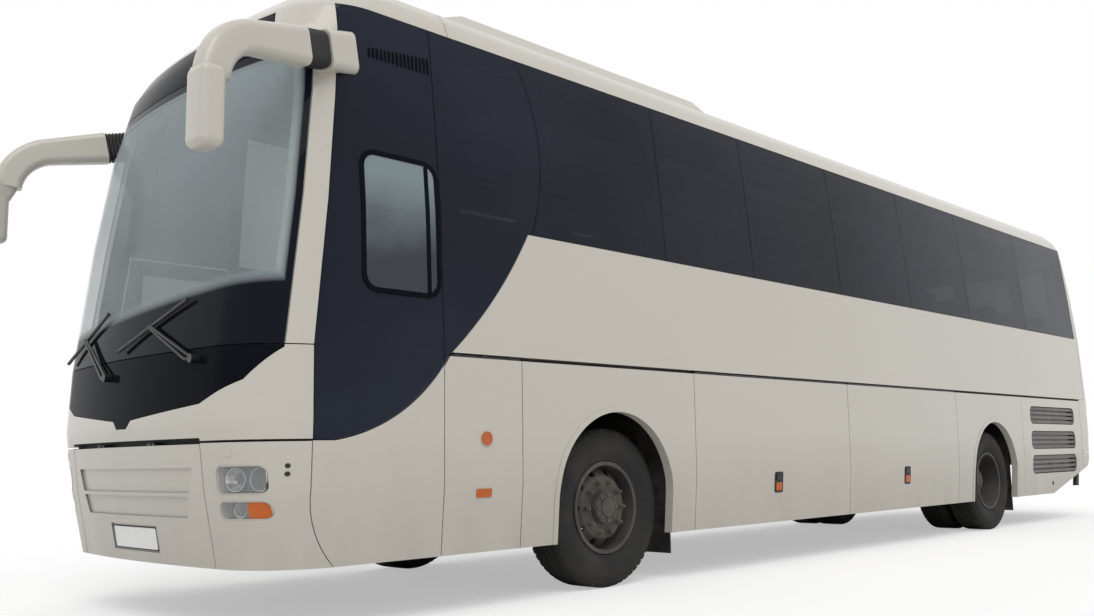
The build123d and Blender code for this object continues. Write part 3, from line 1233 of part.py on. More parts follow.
HEAD = (6200, MIRROR_TIP_X, 1335, 1512, 2272, 2662)
HEAD_FILLET = 42
bend_z = ARM_START_Z + (ARM[1] - ARM[0]) * sin(ARM_SLOPE) / cos(ARM_SLOPE)
bend_centre = arm_plane.from_local_coords(
    (ARM[1] + BEND_R * sin(ARM_SLOPE), bend_z - BEND_R * cos(ARM_SLOPE), 0)
)
bend_axis = Axis(origin=bend_centre, direction=arm_plane.z_dir)
mirror_arm = arm_stretch(*ARM) + revolve(arm_section(ARM[1], *ARM[3]), bend_axis, -BEND_DEG)
mirror_arm += fillet(block(*HEAD).edges(), HEAD_FILLET)
bracket = arm_stretch(*BRACKET) - GROWN
bellows = arm_stretch(*BELLOWS) - GROWN
nodes["mirrors"] = group([mirror_arm, mirrored(mirror_arm), bracket, mirrored(bracket)])
nodes["mirror_bellows"] = group([bellows, mirrored(bellows)])
nodes["body_frame"] = frame

# Each piece goes to a file of its own
os.makedirs("parts", exist_ok=True)
for name, piece in nodes.items():
    export_step(Pos(-ORIGIN_X, 0, 0) * piece, f"parts/{name}.step")
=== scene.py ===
import bmesh
import bpy
import json
from math import cos, pi, radians, sin
from mathutils import Matrix, Vector
from mathutils.bvhtree import BVHTree

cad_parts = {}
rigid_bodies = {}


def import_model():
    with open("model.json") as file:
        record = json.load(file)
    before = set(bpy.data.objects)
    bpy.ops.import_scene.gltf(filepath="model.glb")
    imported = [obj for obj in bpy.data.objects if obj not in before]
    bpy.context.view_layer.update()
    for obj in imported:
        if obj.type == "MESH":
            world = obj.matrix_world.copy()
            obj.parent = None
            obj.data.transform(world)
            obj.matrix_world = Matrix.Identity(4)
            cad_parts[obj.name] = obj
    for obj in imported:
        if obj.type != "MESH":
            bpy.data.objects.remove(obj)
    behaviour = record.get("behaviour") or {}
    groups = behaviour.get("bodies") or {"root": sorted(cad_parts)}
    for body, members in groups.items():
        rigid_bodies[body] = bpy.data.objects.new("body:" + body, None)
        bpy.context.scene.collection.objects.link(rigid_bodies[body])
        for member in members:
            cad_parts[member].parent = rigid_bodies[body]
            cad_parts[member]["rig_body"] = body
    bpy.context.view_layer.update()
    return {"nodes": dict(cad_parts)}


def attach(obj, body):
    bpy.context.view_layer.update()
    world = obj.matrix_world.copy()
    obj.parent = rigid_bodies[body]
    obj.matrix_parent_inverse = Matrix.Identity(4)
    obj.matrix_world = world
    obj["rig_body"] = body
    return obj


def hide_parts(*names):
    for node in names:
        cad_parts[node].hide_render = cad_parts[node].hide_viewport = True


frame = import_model()

# Underframe and wheel housings: welded steel rails, floor plates and tubs under the coach,
# sprayed with black chassis paint. Road dust lies on whatever faces the wheels and the road.


class Wire:
    """A socket of a node tree; sums and products of wires add Math nodes to that tree."""

    def __init__(self, tree, socket=None):
        self.tree = tree
        self.socket = socket

    def node(self, kind, settings=None, sockets=None, output=0):
        """A new node with its settings, then its socket values or links; returns one output."""
        node = self.tree.nodes.new(kind)
        for name, value in (settings or {}).items():
            if name == "stops":
                for number, (place, shade) in enumerate(value):
                    ramp = node.color_ramp.elements
                    stop = ramp[number] if number < 2 else ramp.new(place)
                    stop.position = place
                    stop.color = (shade, shade, shade, 1)
            else:
                setattr(node, name, value)
        for name, value in (sockets or {}).items():
            if isinstance(value, Wire):
                self.tree.links.new(value.socket, node.inputs[name])
            else:
                node.inputs[name].default_value = value
        return Wire(self.tree, node.outputs[output]) if node.outputs else None

    def math(self, operation, first, second):
        return self.node("ShaderNodeMath", {"operation": operation}, {0: first, 1: second})

    def __add__(self, other):
        return self.math("ADD", self, other)

    def __sub__(self, other):
        return self.math("SUBTRACT", self, other)

    def __rsub__(self, other):
        return self.math("SUBTRACT", other, self)

    def __mul__(self, other):
        return self.math("MULTIPLY", self, other)

    def __truediv__(self, other):
        return self.math("DIVIDE", self, other)


def new_finish(name):
    """An empty material and the start of its tree."""
    material = bpy.data.materials.new(name)
    material.use_nodes = True
    material.node_tree.nodes.clear()
    return material, Wire(material.node_tree)


def set_surface(tree, sockets):
    shader = tree.node("ShaderNodeBsdfPrincipled", {}, sockets)
    tree.node("ShaderNodeOutputMaterial", {}, {"Surface": shader})


def noise(tree, scale, detail, stretch=(1, 1, 1)):
    """A value between 0 and 1 that wanders over the piece; scale is in waves per metre."""
    place = tree.node("ShaderNodeTexCoord", output="Object")
    place = tree.node("ShaderNodeMapping", {}, {"Vector": place, "Scale": stretch})
    return tree.node("ShaderNodeTexNoise", {}, {"Vector": place, "Scale": scale, "Detail": detail})


def coordinate(tree, axis):
    """A place's X, Y or Z with all joints at rest, in metres; Z is the height above the ground."""
    place = tree.node("ShaderNodeTexCoord", output="Object")
    return tree.node("ShaderNodeSeparateXYZ", {}, {"Vector": place}, axis)


def steps(tree, value, stops):
    """A value passed through a ramp of grey stops."""
    return tree.node("ShaderNodeValToRGB", {"stops": stops}, {"Fac": value})


def mixed(tree, share, first, second):
    """A colour between two colours."""
    sockets = {0: share, 6: first, 7: second}
    return tree.node("ShaderNodeMix", {"data_type": "RGBA"}, sockets, 2)


def bump(tree, value, strength, distance):
    return tree.node("ShaderNodeBump", {}, {"Height": value, "Strength": strength, "Distance": distance})


def colour(red, green, blue):
    return (red, green, blue, 1.0)


def darker(base, share):
    """A colour that keeps only a share of another one's light."""
    return colour(*(share * part for part in base[:3]))


ROAD_DUST = colour(0.165, 0.145, 0.12)


def dusty_finish(name, base, roughness, metallic=0.0, dust_amount=0.0, grain=30.0):
    """A coloured surface with road dust gathered in patches."""
    material, tree = new_finish(name)
    dust = steps(tree, noise(tree, 4.0, 6.0), [(0.38, 0.0), (0.72, 1.0)]) * dust_amount
    fine = noise(tree, grain, 4.0)
    tone = mixed(tree, fine, base, darker(base, 0.72))
    set_surface(tree, {
        "Base Color": mixed(tree, dust, tone, ROAD_DUST),
        "Roughness": dust * 0.35 + fine * 0.12 + roughness,
        "Metallic": metallic - dust * metallic,
        "Normal": bump(tree, fine, 0.12, 0.002),
    })
    return material


SMOOTH_BELOW = radians(27)
WELD = 2e-5


def smoothed(mesh):
    """A mesh with its gentle edges smoothed and its sharp ones kept."""
    mesh.shade_smooth()
    mesh.set_sharp_from_angle(angle=SMOOTH_BELOW)
    return mesh


def merged(node, keep=None):
    """A copy of a node's mesh with its triangles joined and its gentle edges smoothed."""
    work = bmesh.new()
    work.from_mesh(frame["nodes"][node].data)
    bmesh.ops.remove_doubles(work, verts=work.verts, dist=WELD)
    if keep:
        spare = [face for face in work.faces if not keep(face.calc_center_median())]
        bmesh.ops.delete(work, geom=spare, context="FACES")
    work.verts.index_update()
    corners = [vert.co.copy() for vert in work.verts]
    faces = [[vert.index for vert in face.verts] for face in work.faces]
    work.free()
    mesh = bpy.data.meshes.new(node + "_mesh")
    mesh.from_pydata(corners, [], faces)
    return smoothed(mesh)


def in_scene(name, data):
    """A new object, linked to the scene."""
    item = bpy.data.objects.new(name, data)
    bpy.context.scene.collection.objects.link(item)
    return item


def placed(name, mesh, node, *materials):
    """A finished mesh in the scene, with its finishes, riding with the body of a node."""
    piece = in_scene(name, mesh)
    for material in materials:
        mesh.materials.append(material)
    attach(piece, frame["nodes"][node]["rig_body"])
    return piece


def dressed(node, *materials, choose=None, keep=None):
    """A node's merged copy with its finish; choose picks a material for a face."""
    mesh = merged(node, keep)
    piece = placed(node + "_finish", mesh, node, *materials)
    if choose:
        for face in mesh.polygons:
            face.material_index = choose(face.center, face.normal)
    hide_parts(node)
    return piece


chassis_black = dusty_finish("chassis_black", colour(0.022, 0.022, 0.023), 0.5, 0.0, 0.75)
for node in ("underframe", "wheel_housings"):
    dressed(node, chassis_black)

# Axles, knuckles and the tie rod: cast and forged iron, oily near the joints and otherwise
# coated with the same road dust. The beam sits under its springs, the knuckles on kingpins.
cast_iron = dusty_finish("cast_iron", colour(0.05, 0.048, 0.046), 0.55, 0.6, 0.7)
for node in ("front_axle", "knuckle_left", "knuckle_right", "tie_rod", "rear_axle"):
    dressed(node, cast_iron)

# Engine: one block at the tail, in dark grey casting paint under oily dust. Rubber mounts hold
# it between the rails of the underframe, behind the engine lid.
engine_grey = dusty_finish("engine_grey", colour(0.09, 0.095, 0.1), 0.5, 0.3, 0.6)
dressed("engine_block", engine_grey)

# Mudflaps: thick sheets of black rubber that hang behind the wheels and keep stones off the
# panels. They are screwed to the rear edge of each wheel housing.
mudflap_rubber = dusty_finish("mudflap_rubber", colour(0.018, 0.018, 0.018), 0.7, 0.0, 0.5)
dressed("mudflaps", mudflap_rubber)

# Wheels: pressed steel discs with hand holes, in dark paint that brake dust has browned. Ten
# nuts on studs hold each disc to its hub, and a bolted cap closes the hub.
wheel_steel = dusty_finish("wheel_steel", colour(0.060, 0.055, 0.050), 0.55, 0.2, 0.42, 55.0)
nut_steel = dusty_finish("nut_steel", colour(0.11, 0.095, 0.08), 0.5, 0.5, 0.6, 80.0)
SIDES = {"left": 1, "right": -1}
FRONT_AXLE = Vector((3.122, 0, 0.515))
REAR_AXLE = Vector((-2.94, 0, 0.515))


def repeat_tree(name, own_sockets, layout):
    """A tree that sets copies of a shape at the places that its layout works out."""
    tree = bpy.data.node_groups.new(name, "GeometryNodeTree")
    sockets = {"Shape": "Geometry", "Count": "Int", **own_sockets, "Finish": "Material"}
    for socket, kind in sockets.items():
        tree.interface.new_socket(socket, in_out="INPUT", socket_type="NodeSocket" + kind)
    tree.interface.new_socket("Shape", in_out="OUTPUT", socket_type="NodeSocketGeometry")
    start = Wire(tree)
    taken = {socket: start.node("NodeGroupInput", output=socket) for socket in sockets}
    places = layout(start, taken)
    copies = start.node("GeometryNodeInstanceOnPoints", {}, {"Instance": taken["Shape"], **places})
    solid = start.node("GeometryNodeRealizeInstances", {}, {"Geometry": copies})
    done = start.node("GeometryNodeSetMaterial", {}, {"Geometry": solid, "Material": taken["Finish"]})
    start.node("NodeGroupOutput", {}, {"Shape": done})
    return tree


def on_a_circle(start, taken):
    """Places around a circle about Z, each copy turned with its place."""
    ring = {"Vertices": taken["Count"], "Radius": taken["Radius"]}
    angle = start.node("GeometryNodeInputIndex") * (2 * pi) / taken["Count"]
    about_z = start.node("ShaderNodeCombineXYZ", {}, {"Z": angle})
    return {
        "Points": start.node("GeometryNodeMeshCircle", {}, ring),
        "Rotation": start.node("FunctionNodeEulerToRotation", {}, {0: about_z}),
    }


def repeated(unit, tree, values):
    """The plain mesh that a tree of repeats makes from one shape."""
    holder = in_scene("holder", unit)
    maker = holder.modifiers.new("repeats", "NODES")
    maker.node_group = tree
    for socket in tree.interface.items_tree:
        if socket.in_out == "INPUT" and socket.name in values:
            maker[socket.identifier] = values[socket.name]
    graph = bpy.context.evaluated_depsgraph_get()
    mesh = bpy.data.meshes.new_from_object(holder.evaluated_get(graph))
    holder.modifiers.remove(maker)
    bpy.data.objects.remove(holder)
    return mesh


def shaped(name, work):
    """A mesh from a finished bmesh, its faces turned outwards."""
    bmesh.ops.recalc_face_normals(work, faces=work.faces)
    mesh = bpy.data.meshes.new(name)
    work.to_mesh(mesh)
    work.free()
    return smoothed(mesh)


def band(work, near, far, closed=True):
    """Faces between two rows of as many points; closed rows end where they start."""
    for number in range(len(near) if closed else len(near) - 1):
        after = (number + 1) % len(near)
        work.faces.new((near[number], near[after], far[after], far[number]))


def turned(name, outline, closed, sides):
    """A shape turned about the Y axis from points (radius, y)."""
    work = bmesh.new()
    rings = []
    for step in range(sides):
        turn = 2 * pi * step / sides
        rings.append([work.verts.new((r * cos(turn), y, r * sin(turn))) for r, y in outline])
    for near, far in zip(rings, rings[1:] + rings[:1]):
        band(work, near, far, closed)
    bmesh.ops.remove_doubles(work, verts=work.verts, dist=1e-6)
    return shaped(name, work)


def joined(name, meshes):
    """Several meshes of one finish as one."""
    work = bmesh.new()
    for mesh in meshes:
        work.from_mesh(mesh)
    whole = bpy.data.meshes.new(name)
    work.to_mesh(whole)
    work.free()
    return smoothed(whole)


AROUND = repeat_tree("around_a_hub", {"Radius": "Float"}, on_a_circle)
# columns: rings of a nut or bolt as (sides, foot radius, head radius, foot height, head height)
WHEEL_NUT = (
    (18, 0.027, 0.025, 0.0, 0.006),
    (6, 0.0185, 0.0175, 0.006, 0.030),
    (10, 0.011, 0.0095, 0.030, 0.046),
)
HUB_BOLT = ((6, 0.0115, 0.011, 0.0, 0.011),)


def stacked(name, rows):
    """Drums on one another along Z."""
    work = bmesh.new()
    for sides, foot_r, head_r, foot, head in rows:
        bmesh.ops.create_cone(
            work, cap_ends=True, segments=sides, radius1=foot_r, radius2=head_r, depth=head - foot,
            matrix=Matrix.Translation((0, 0, (foot + head) / 2)),
        )
    return shaped(name, work)


WHEEL_NUTS = 10
NUT_CIRCLE = 0.1675
HUB_BOLTS = 8
HUB_SIDES = 48
DRUM_R = (0.155, 0.250)
# columns: axle, face of the disc, hub cap as (radius, y), bolt circle and face, sides of the drum
WHEEL_FACES = {
    "front": (
        FRONT_AXLE, 1.114,
        ((0.104, 1.146), (0.101, 1.156), (0.066, 1.160), (0.062, 1.172), (0.030, 1.178), (0.0, 1.178)),
        (0.084, 1.157), (0.905, 0.985),
    ),
    "rear": (
        REAR_AXLE, 0.936,
        ((0.124, 1.040), (0.120, 1.051), (0.082, 1.054), (0.076, 1.074), (0.045, 1.083), (0.0, 1.083)),
        (0.101, 1.051), (0.835, 0.895),
    ),
}
for axle_name, (axle, face_y, cap, bolts, (near_y, far_y)) in WHEEL_FACES.items():
    drum = ((DRUM_R[0], near_y), (DRUM_R[1], near_y), (DRUM_R[1], far_y), (DRUM_R[0], far_y))
    for side, sign in SIDES.items():
        node = "wheel_%s_%s" % (axle_name, side)
        dressed(node, wheel_steel)
        outwards = Matrix.Rotation(radians(-90 * sign), 4, "X")
        for name, unit, count, radius, y in (
            ("_nuts", stacked("nut", WHEEL_NUT), WHEEL_NUTS, NUT_CIRCLE, face_y),
            ("_cap_bolts", stacked("bolt", HUB_BOLT), HUB_BOLTS, *bolts),
        ):
            ring = repeated(unit, AROUND, {"Count": count, "Radius": radius, "Finish": nut_steel})
            ring.transform(Matrix.Translation(axle + Vector((0, sign * y, 0))) @ outwards)
            placed(node + name, ring, node)
        for name, outline, closed, finish in (
            ("_brake_drum", drum, True, cast_iron),
            ("_hub_cap", cap, False, wheel_steel),
        ):
            round_part = turned(name, [(r, sign * y) for r, y in outline], closed, HUB_SIDES)
            round_part.transform(Matrix.Translation(axle))
            placed(node + name, round_part, node, finish)

# Tyres: moulded rubber with ribs and grooves around the crown, blocks along both shoulders and
# fine raised rings on the side walls, dusty at the sides. They sit on the rims' beads.
tyre_rubber = dusty_finish("tyre_rubber", colour(0.011, 0.0108, 0.011), 0.78, 0.0, 0.16, 40.0)
# columns: half of the tyre's section, from the bead to the middle of the crown, as (radius, y)
TYRE_HALF = (
    (0.289, 0.1115), (0.3015, 0.1118), (0.312, 0.1205), (0.318, 0.1215), (0.322, 0.1195), (0.345, 0.1335),
    (0.375, 0.1430), (0.405, 0.1465), (0.425, 0.1465), (0.428, 0.1440), (0.437, 0.1438), (0.440, 0.1452),
    (0.456, 0.1405), (0.470, 0.1350), (0.473, 0.1322), (0.479, 0.1315), (0.492, 0.1250), (0.503, 0.1120),
    (0.5145, 0.1020), (0.5147, 0.0700), (0.5030, 0.0680), (0.5030, 0.0600), (0.5148, 0.0580),
    (0.5150, 0.0300), (0.5030, 0.0280), (0.5030, 0.0200), (0.5150, 0.0180),
)
TYRE_SIDES = 96
SHOULDER_BLOCKS = 58
BLOCK_SIZE = (0.012, 0.036, 0.022)
BLOCK_TILT = radians(40)
BLOCK_AT = (0.4990, 0.1115)
TYRE_ROWS = {"front": (FRONT_AXLE, (1.025,)), "rear": (REAR_AXLE, (1.045, 0.705))}
for axle_name, (axle, middles) in TYRE_ROWS.items():
    for side, sign in SIDES.items():
        node = "tyre_%s_%s" % (axle_name, side)
        parts = []
        for middle in middles:
            section = list(TYRE_HALF) + [(r, -y) for r, y in reversed(TYRE_HALF)]
            hoop = turned("hoop", section, True, TYRE_SIDES)
            hoop.transform(Matrix.Translation(axle + Vector((0, sign * middle, 0))))
            parts.append(hoop)
            for edge in (1, -1):
                work = bmesh.new()
                bmesh.ops.create_cube(work, size=1.0)
                bmesh.ops.scale(work, verts=work.verts, vec=BLOCK_SIZE)
                tilt = Matrix.Rotation(edge * BLOCK_TILT, 3, "Y")
                bmesh.ops.rotate(work, verts=work.verts, matrix=tilt)
                block = shaped("block", work)
                ring = repeated(block, AROUND, {"Count": SHOULDER_BLOCKS, "Radius": BLOCK_AT[0]})
                ring.transform(Matrix.Rotation(radians(-90), 4, "X"))
                shoulder_y = sign * middle + edge * BLOCK_AT[1]
                ring.transform(Matrix.Translation(axle + Vector((0, shoulder_y, 0))))
                parts.append(ring)
        piece = placed(node + "_tread", joined(node + "_tread", parts), node, tyre_rubber)
        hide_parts(node)

# Floor and body frame: plywood decks under grey vinyl, screwed to the frame, and the welded
# steel uprights and hoops behind the panels, in dark primer.
floor_vinyl = dusty_finish("floor_vinyl", colour(0.12, 0.125, 0.13), 0.6, 0.0, 0.2)
frame_primer = dusty_finish("frame_primer", colour(0.03, 0.03, 0.032), 0.6, 0.0, 0.2)
dressed("floor_deck", floor_vinyl)
dressed("body_frame", frame_primer)

# Passenger seats: foam pads in dark blue-grey cloth with sewn channels, two on each bench, on
# plastic shells and steel pedestals that are screwed to the floor, in rows along both sides.


def on_a_line(start, taken):
    """Places along a line; each copy is taller than the one before by a share."""
    run = {"Count": taken["Count"], "Offset": taken["Step"]}
    taller = start.node("GeometryNodeInputIndex") * taken["Growth"] + 1.0
    return {
        "Points": start.node("GeometryNodeMeshLine", {"mode": "OFFSET"}, run),
        "Scale": start.node("ShaderNodeCombineXYZ", {}, {"X": 1.0, "Y": 1.0, "Z": taller}),
    }


ROW = repeat_tree("along_a_row", {"Step": "Vector", "Growth": "Float"}, on_a_line)
PAD_CUTS = 9
PAD_SQUARENESS = 5
DRAWN_IN = (0.05, 0.06)
PAD_CROWN = 0.22
CHANNEL_HALF = 0.12
CHANNEL_DEPTH = 0.22


def pad(size, channels, tilt, middle):
    """A stuffed pad, crowned in front, drawn in at its sides, with sewn channels across it."""
    work = bmesh.new()
    bmesh.ops.create_cube(work, size=2.0)
    bmesh.ops.subdivide_edges(work, edges=work.edges, cuts=PAD_CUTS, use_grid_fill=True)
    for vert in work.verts:
        rounding = sum(abs(part) ** PAD_SQUARENESS for part in vert.co) ** (1 / PAD_SQUARENESS)
        x, y, z = (part / rounding for part in vert.co)
        drawn_x = 1 - DRAWN_IN[0] * (1 - y * y)
        drawn_y = 1 - DRAWN_IN[1] * (1 - x * x)
        if z > 0:
            groove = sum(max(0.0, 1 - abs(x - line) / CHANNEL_HALF) for line in channels)
            z = z * (1 + PAD_CROWN * (1 - x * x) * (1 - y * y)) - groove * CHANNEL_DEPTH
        vert.co = Vector((x * drawn_x * size[0], y * drawn_y * size[1], z * size[2])) / 2
    work.transform(Matrix.Translation(middle) @ Matrix.Rotation(tilt, 4, "Y"))
    return shaped("pad", work)


def soft_block(low, high, round_r):
    """A block with rounded edges."""
    work = bmesh.new()
    bmesh.ops.create_cube(work, size=1.0)
    span = Vector(high) - Vector(low)
    bmesh.ops.scale(work, verts=work.verts, vec=span)
    bmesh.ops.translate(work, verts=work.verts, vec=(Vector(high) + Vector(low)) / 2)
    bmesh.ops.bevel(work, geom=work.edges, offset=round_r, segments=3, profile=0.5, affect="EDGES")
    return shaped("block", work)


def cloth_finish(name, base, fleck):
    """Woven cloth: crossed threads, flecks of a second colour and a slight fuzz."""
    material, tree = new_finish(name)
    threads = [
        tree.node("ShaderNodeTexWave", {"bands_direction": way}, {
            "Vector": tree.node("ShaderNodeTexCoord", output="Object"), "Scale": 260.0, "Distortion": 0.4,
        }, "Fac") for way in ("Y", "DIAGONAL")
    ]
    weave = threads[0] * threads[1]
    spots = steps(tree, noise(tree, 90.0, 2.0), [(0.55, 0.0), (0.66, 1.0)])
    ground = mixed(tree, weave, base, darker(base, 0.7))
    set_surface(tree, {
        "Base Color": mixed(tree, spots * 0.6, ground, fleck),
        "Roughness": 0.9 - weave * 0.08,
        "Normal": bump(tree, weave, 0.3, 0.001),
        "Sheen Weight": 0.25,
    })
    return material


seat_cloth = cloth_finish("seat_cloth", colour(0.035, 0.045, 0.075), colour(0.12, 0.13, 0.16))
seat_plastic = dusty_finish("seat_plastic", colour(0.055, 0.057, 0.06), 0.55, grain=120.0)
DECK_Z = 1.38
FIRST_ROW = 3.535
ROW_STEP = (-0.79, 0.0, 0.0)
SEAT_MIDDLES = (0.44, 0.84)
CUSHION = (0.45, 0.385, 0.13)
CUSHION_CHANNELS = (-0.35, 0.35)
CUSHION_RISE = 0.44
BACKREST = (0.68, 0.385, 0.11)
BACK_CHANNELS = (-0.45, 0.0, 0.45)
BACK_SET = -0.245
BACK_RISE = 0.80
BACK_TILT = radians(-78)
SHELL_AT = (-0.302, 0.79)
# columns: start and end along x, half width, foot and head above the deck, edge radius
PEDESTAL = (-0.15, 0.15, 0.04, 0.0, 0.38, 0.01)
SEAT_PAN = (-0.2, 0.2, 0.18, 0.36, 0.385, 0.008)
ARM_REST = (-0.2, 0.12, 0.022, 0.62, 0.66, 0.016)
PEDESTAL_Y = 0.57
ARM_RESTS_Y = (0.24, 0.64, 1.03)


def seat_pads(x, y, z, cushion, back):
    """A cushion and a backrest of given sizes over a seat's place on the floor."""
    return [
        pad(cushion, CUSHION_CHANNELS, 0.0, (x, y, z + CUSHION_RISE)),
        pad(back, BACK_CHANNELS, BACK_TILT, (x + BACK_SET, y, z + BACK_RISE)),
    ]


def deck_block(y, start, end, half, foot, head, round_r):
    return soft_block((start, y - half, DECK_Z + foot), (end, y + half, DECK_Z + head), round_r)


def bench(sign):
    """Pads and shells of one bench beside the aisle, about the bench's own middle."""
    soft = []
    hard = [deck_block(sign * PEDESTAL_Y, *PEDESTAL)]
    for middle in SEAT_MIDDLES:
        y = sign * middle
        soft += seat_pads(0.0, y, DECK_Z, CUSHION, BACKREST)
        shell = soft_block((-0.31, -0.185, -0.02), (0.33, 0.185, 0.012), 0.009)
        shell.transform(Matrix.Rotation(BACK_TILT, 4, "Y"))
        shell.transform(Matrix.Translation((SHELL_AT[0], y, DECK_Z + SHELL_AT[1])))
        hard += [shell, deck_block(y, *SEAT_PAN)]
    hard += [deck_block(sign * y, *ARM_REST) for y in ARM_RESTS_Y]
    return joined("soft", soft), joined("hard", hard)


# columns: side, first row, rows
BENCH_RUNS = ((1, 0, 12), (-1, 0, 6), (-1, 8, 4))
soft_runs = []
hard_runs = []
for sign, first, count in BENCH_RUNS:
    for unit, runs in zip(bench(sign), (soft_runs, hard_runs)):
        run = repeated(unit, ROW, {"Count": count, "Step": ROW_STEP, "Growth": 0.0})
        run.transform(Matrix.Translation((FIRST_ROW + ROW_STEP[0] * first, 0, 0)))
        runs.append(run)
pads = placed("seat_pads", joined("seat_pads", soft_runs), "passenger_seats", seat_cloth)
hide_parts("passenger_seats")
placed("seat_shells", joined("seat_shells", hard_runs), "passenger_seats", seat_plastic)

# Driver's place: a moulded plastic dashboard across the front, a padded cloth seat on its
# pedestal and the steering wheel on its column, all screwed to the cab floor.
dash_plastic = dusty_finish("dash_plastic", colour(0.03, 0.032, 0.035), 0.6, grain=150.0)
DASH_REAR_X = 5.045
DRIVER_AT = (4.815, 0.59, 0.9)
DRIVER_CUSHION = (0.46, 0.47, 0.13)
DRIVER_BACK = (0.70, 0.46, 0.12)
dressed("driver_station", dash_plastic, keep=lambda middle: middle.x > DASH_REAR_X)
driver_pads = joined("driver_pads", seat_pads(*DRIVER_AT, DRIVER_CUSHION, DRIVER_BACK))
driver_seat = placed("driver_pads", driver_pads, "driver_station", seat_cloth)
pedestal = soft_block((4.72, 0.47, 0.961), (4.91, 0.71, 1.29), 0.02)
placed("driver_pedestal", pedestal, "driver_station", seat_plastic)
dressed("steering_wheel", dash_plastic)

# Parcel racks: long moulded plastic shelves for hand luggage under the ceiling, one along each
# side, hung from the hoops of the body frame.
rack_plastic = dusty_finish("rack_plastic", colour(0.30, 0.30, 0.31), 0.6, grain=90.0)
RACK_X = (-5.2, 3.9)
RACK_Y = (0.62, 1.0)
RACK_Z = (2.98, 3.1)
for side, sign in SIDES.items():
    edges = sorted(sign * y for y in RACK_Y)
    low, high = zip(RACK_X, edges, RACK_Z)
    placed("parcel_rack_" + side, soft_block(low, high, 0.04), "floor_deck", rack_plastic)

# Cream panels: sheet steel and plastic mouldings on the frame, in one solid coat of cream with
# a clear lacquer. Dust thrown up by the wheels dulls the lower edge.
CREAM = colour(0.56, 0.53, 0.47)


def cream_finish():
    material, tree = new_finish("cream_paint")
    wander = noise(tree, 0.7, 4.0)
    film = noise(tree, 5.0, 6.0, (1, 1, 0.25))
    low = steps(tree, coordinate(tree, "Z") / 2.0, [(0.12, 1.0), (0.5, 0.0)])
    dirt = low * film * 0.35
    tone = mixed(tree, wander, CREAM, darker(CREAM, 0.94))
    set_surface(tree, {
        "Base Color": mixed(tree, dirt, tone, ROAD_DUST),
        "Roughness": dirt * 0.5 + wander * 0.08 + 0.26,
        "Coat Weight": 0.45 - dirt,
        "Coat Roughness": 0.06,
        "Specular IOR Level": 0.3,
    })
    return material


cream_paint = cream_finish()
inner_trim = dusty_finish("inner_trim", colour(0.25, 0.25, 0.25), 0.8)
panel_black = dusty_finish("panel_black", colour(0.008, 0.0085, 0.01), 0.25)
SPINE_X = 4.9
SPINE_Z = (1.3, 2.6)


def outward(centre):
    """Direction from the middle of the cabin to a place on the body."""
    x = max(-SPINE_X, min(SPINE_X, centre.x))
    z = max(SPINE_Z[0], min(SPINE_Z[1], centre.z))
    return (centre - Vector((x, 0, z))).normalized()


PAINTED, LINED, BLACKED, SLATTED = range(4)
INNER_BELOW = -0.2


def painted_outside(centre, normal):
    return PAINTED if normal.dot(outward(centre)) > INNER_BELOW else LINED


for node in (
    "front_mask", "roof_cap", "roof_shell", "bumper_front", "rear_wall", "bumper_rear", "roof_aircon",
):
    dressed(node, cream_paint, inner_trim, choose=painted_outside)
FRONT_HINGE_ABOVE = 0.9435
SIDE_HINGE_ABOVE = 1.4225
LUGGAGE_FLAPS = ["luggage_flap_%s_%s" % (side, place) for side in SIDES for place in ("front", "rear")]
for node in ["service_flap_left", *LUGGAGE_FLAPS, "front_flap"]:
    hinge_z = FRONT_HINGE_ABOVE if node == "front_flap" else SIDE_HINGE_ABOVE

    # Hinge parts above the flap sit in the groove under the panel above and are black, painted shade of
    # that groove.
    def flap_finish(centre, normal):
        return BLACKED if centre.z > hinge_z else painted_outside(centre, normal)

    dressed(node, cream_paint, inner_trim, panel_black, choose=flap_finish)
BEHIND_GLASS = 0.12
INNER_WALL_BELOW = -0.3
covers = {}


def cover_of(node):
    """A node's faces, kept ready for casting rays at them."""
    if node not in covers:
        panel = frame["nodes"][node].data
        corners = [vert.co for vert in panel.vertices]
        covers[node] = BVHTree.FromPolygons(corners, [face.vertices for face in panel.polygons])
    return covers[node]


for side, sign in SIDES.items():
    cover = cover_of("side_glass_" + side)
    sideways = Vector((0, sign, 0))

    def wall_finish(centre, normal):
        if normal.dot(sideways) < INNER_WALL_BELOW:
            return LINED
        hidden = cover.ray_cast(centre, sideways, BEHIND_GLASS)[0] is not None
        return BLACKED if hidden else PAINTED

    dressed("side_wall_" + side, cream_paint, inner_trim, panel_black, choose=wall_finish)
for name in ("door_front", "door_middle"):
    dressed(name + "_leaf", cream_paint, inner_trim, choose=painted_outside)
    dressed(name + "_column", frame_primer)

# Engine louvres and lid slots: pressed slats of bare grey metal across openings, with a screen
# behind them, in the tail's side panels and in the engine lid. The screen and the sides of the
# slots are black as painted shade inside the openings.
slat_metal = dusty_finish("slat_metal", colour(0.22, 0.215, 0.2), 0.45, 0.5, 0.7, 70.0)
LOUVRE_X = (-5.42, -3.92)
LOUVRE_Z = (0.53, 1.35)
SLAT_DEPTH = 0.012
SCREEN_DEPTH = 0.040
LOW_HALF_WIDTHS = ((0.32, 1.240), (0.70, 1.272), (1.05, 1.275), (1.45, 1.275))


def depth_in_side(place):
    """How far a place lies behind the lower side panels."""
    for (z0, y0), (z1, y1) in zip(LOW_HALF_WIDTHS, LOW_HALF_WIDTHS[1:]):
        if z0 <= place.z <= z1:
            return y0 + (y1 - y0) * (place.z - z0) / (z1 - z0) - abs(place.y)
    return 0.0


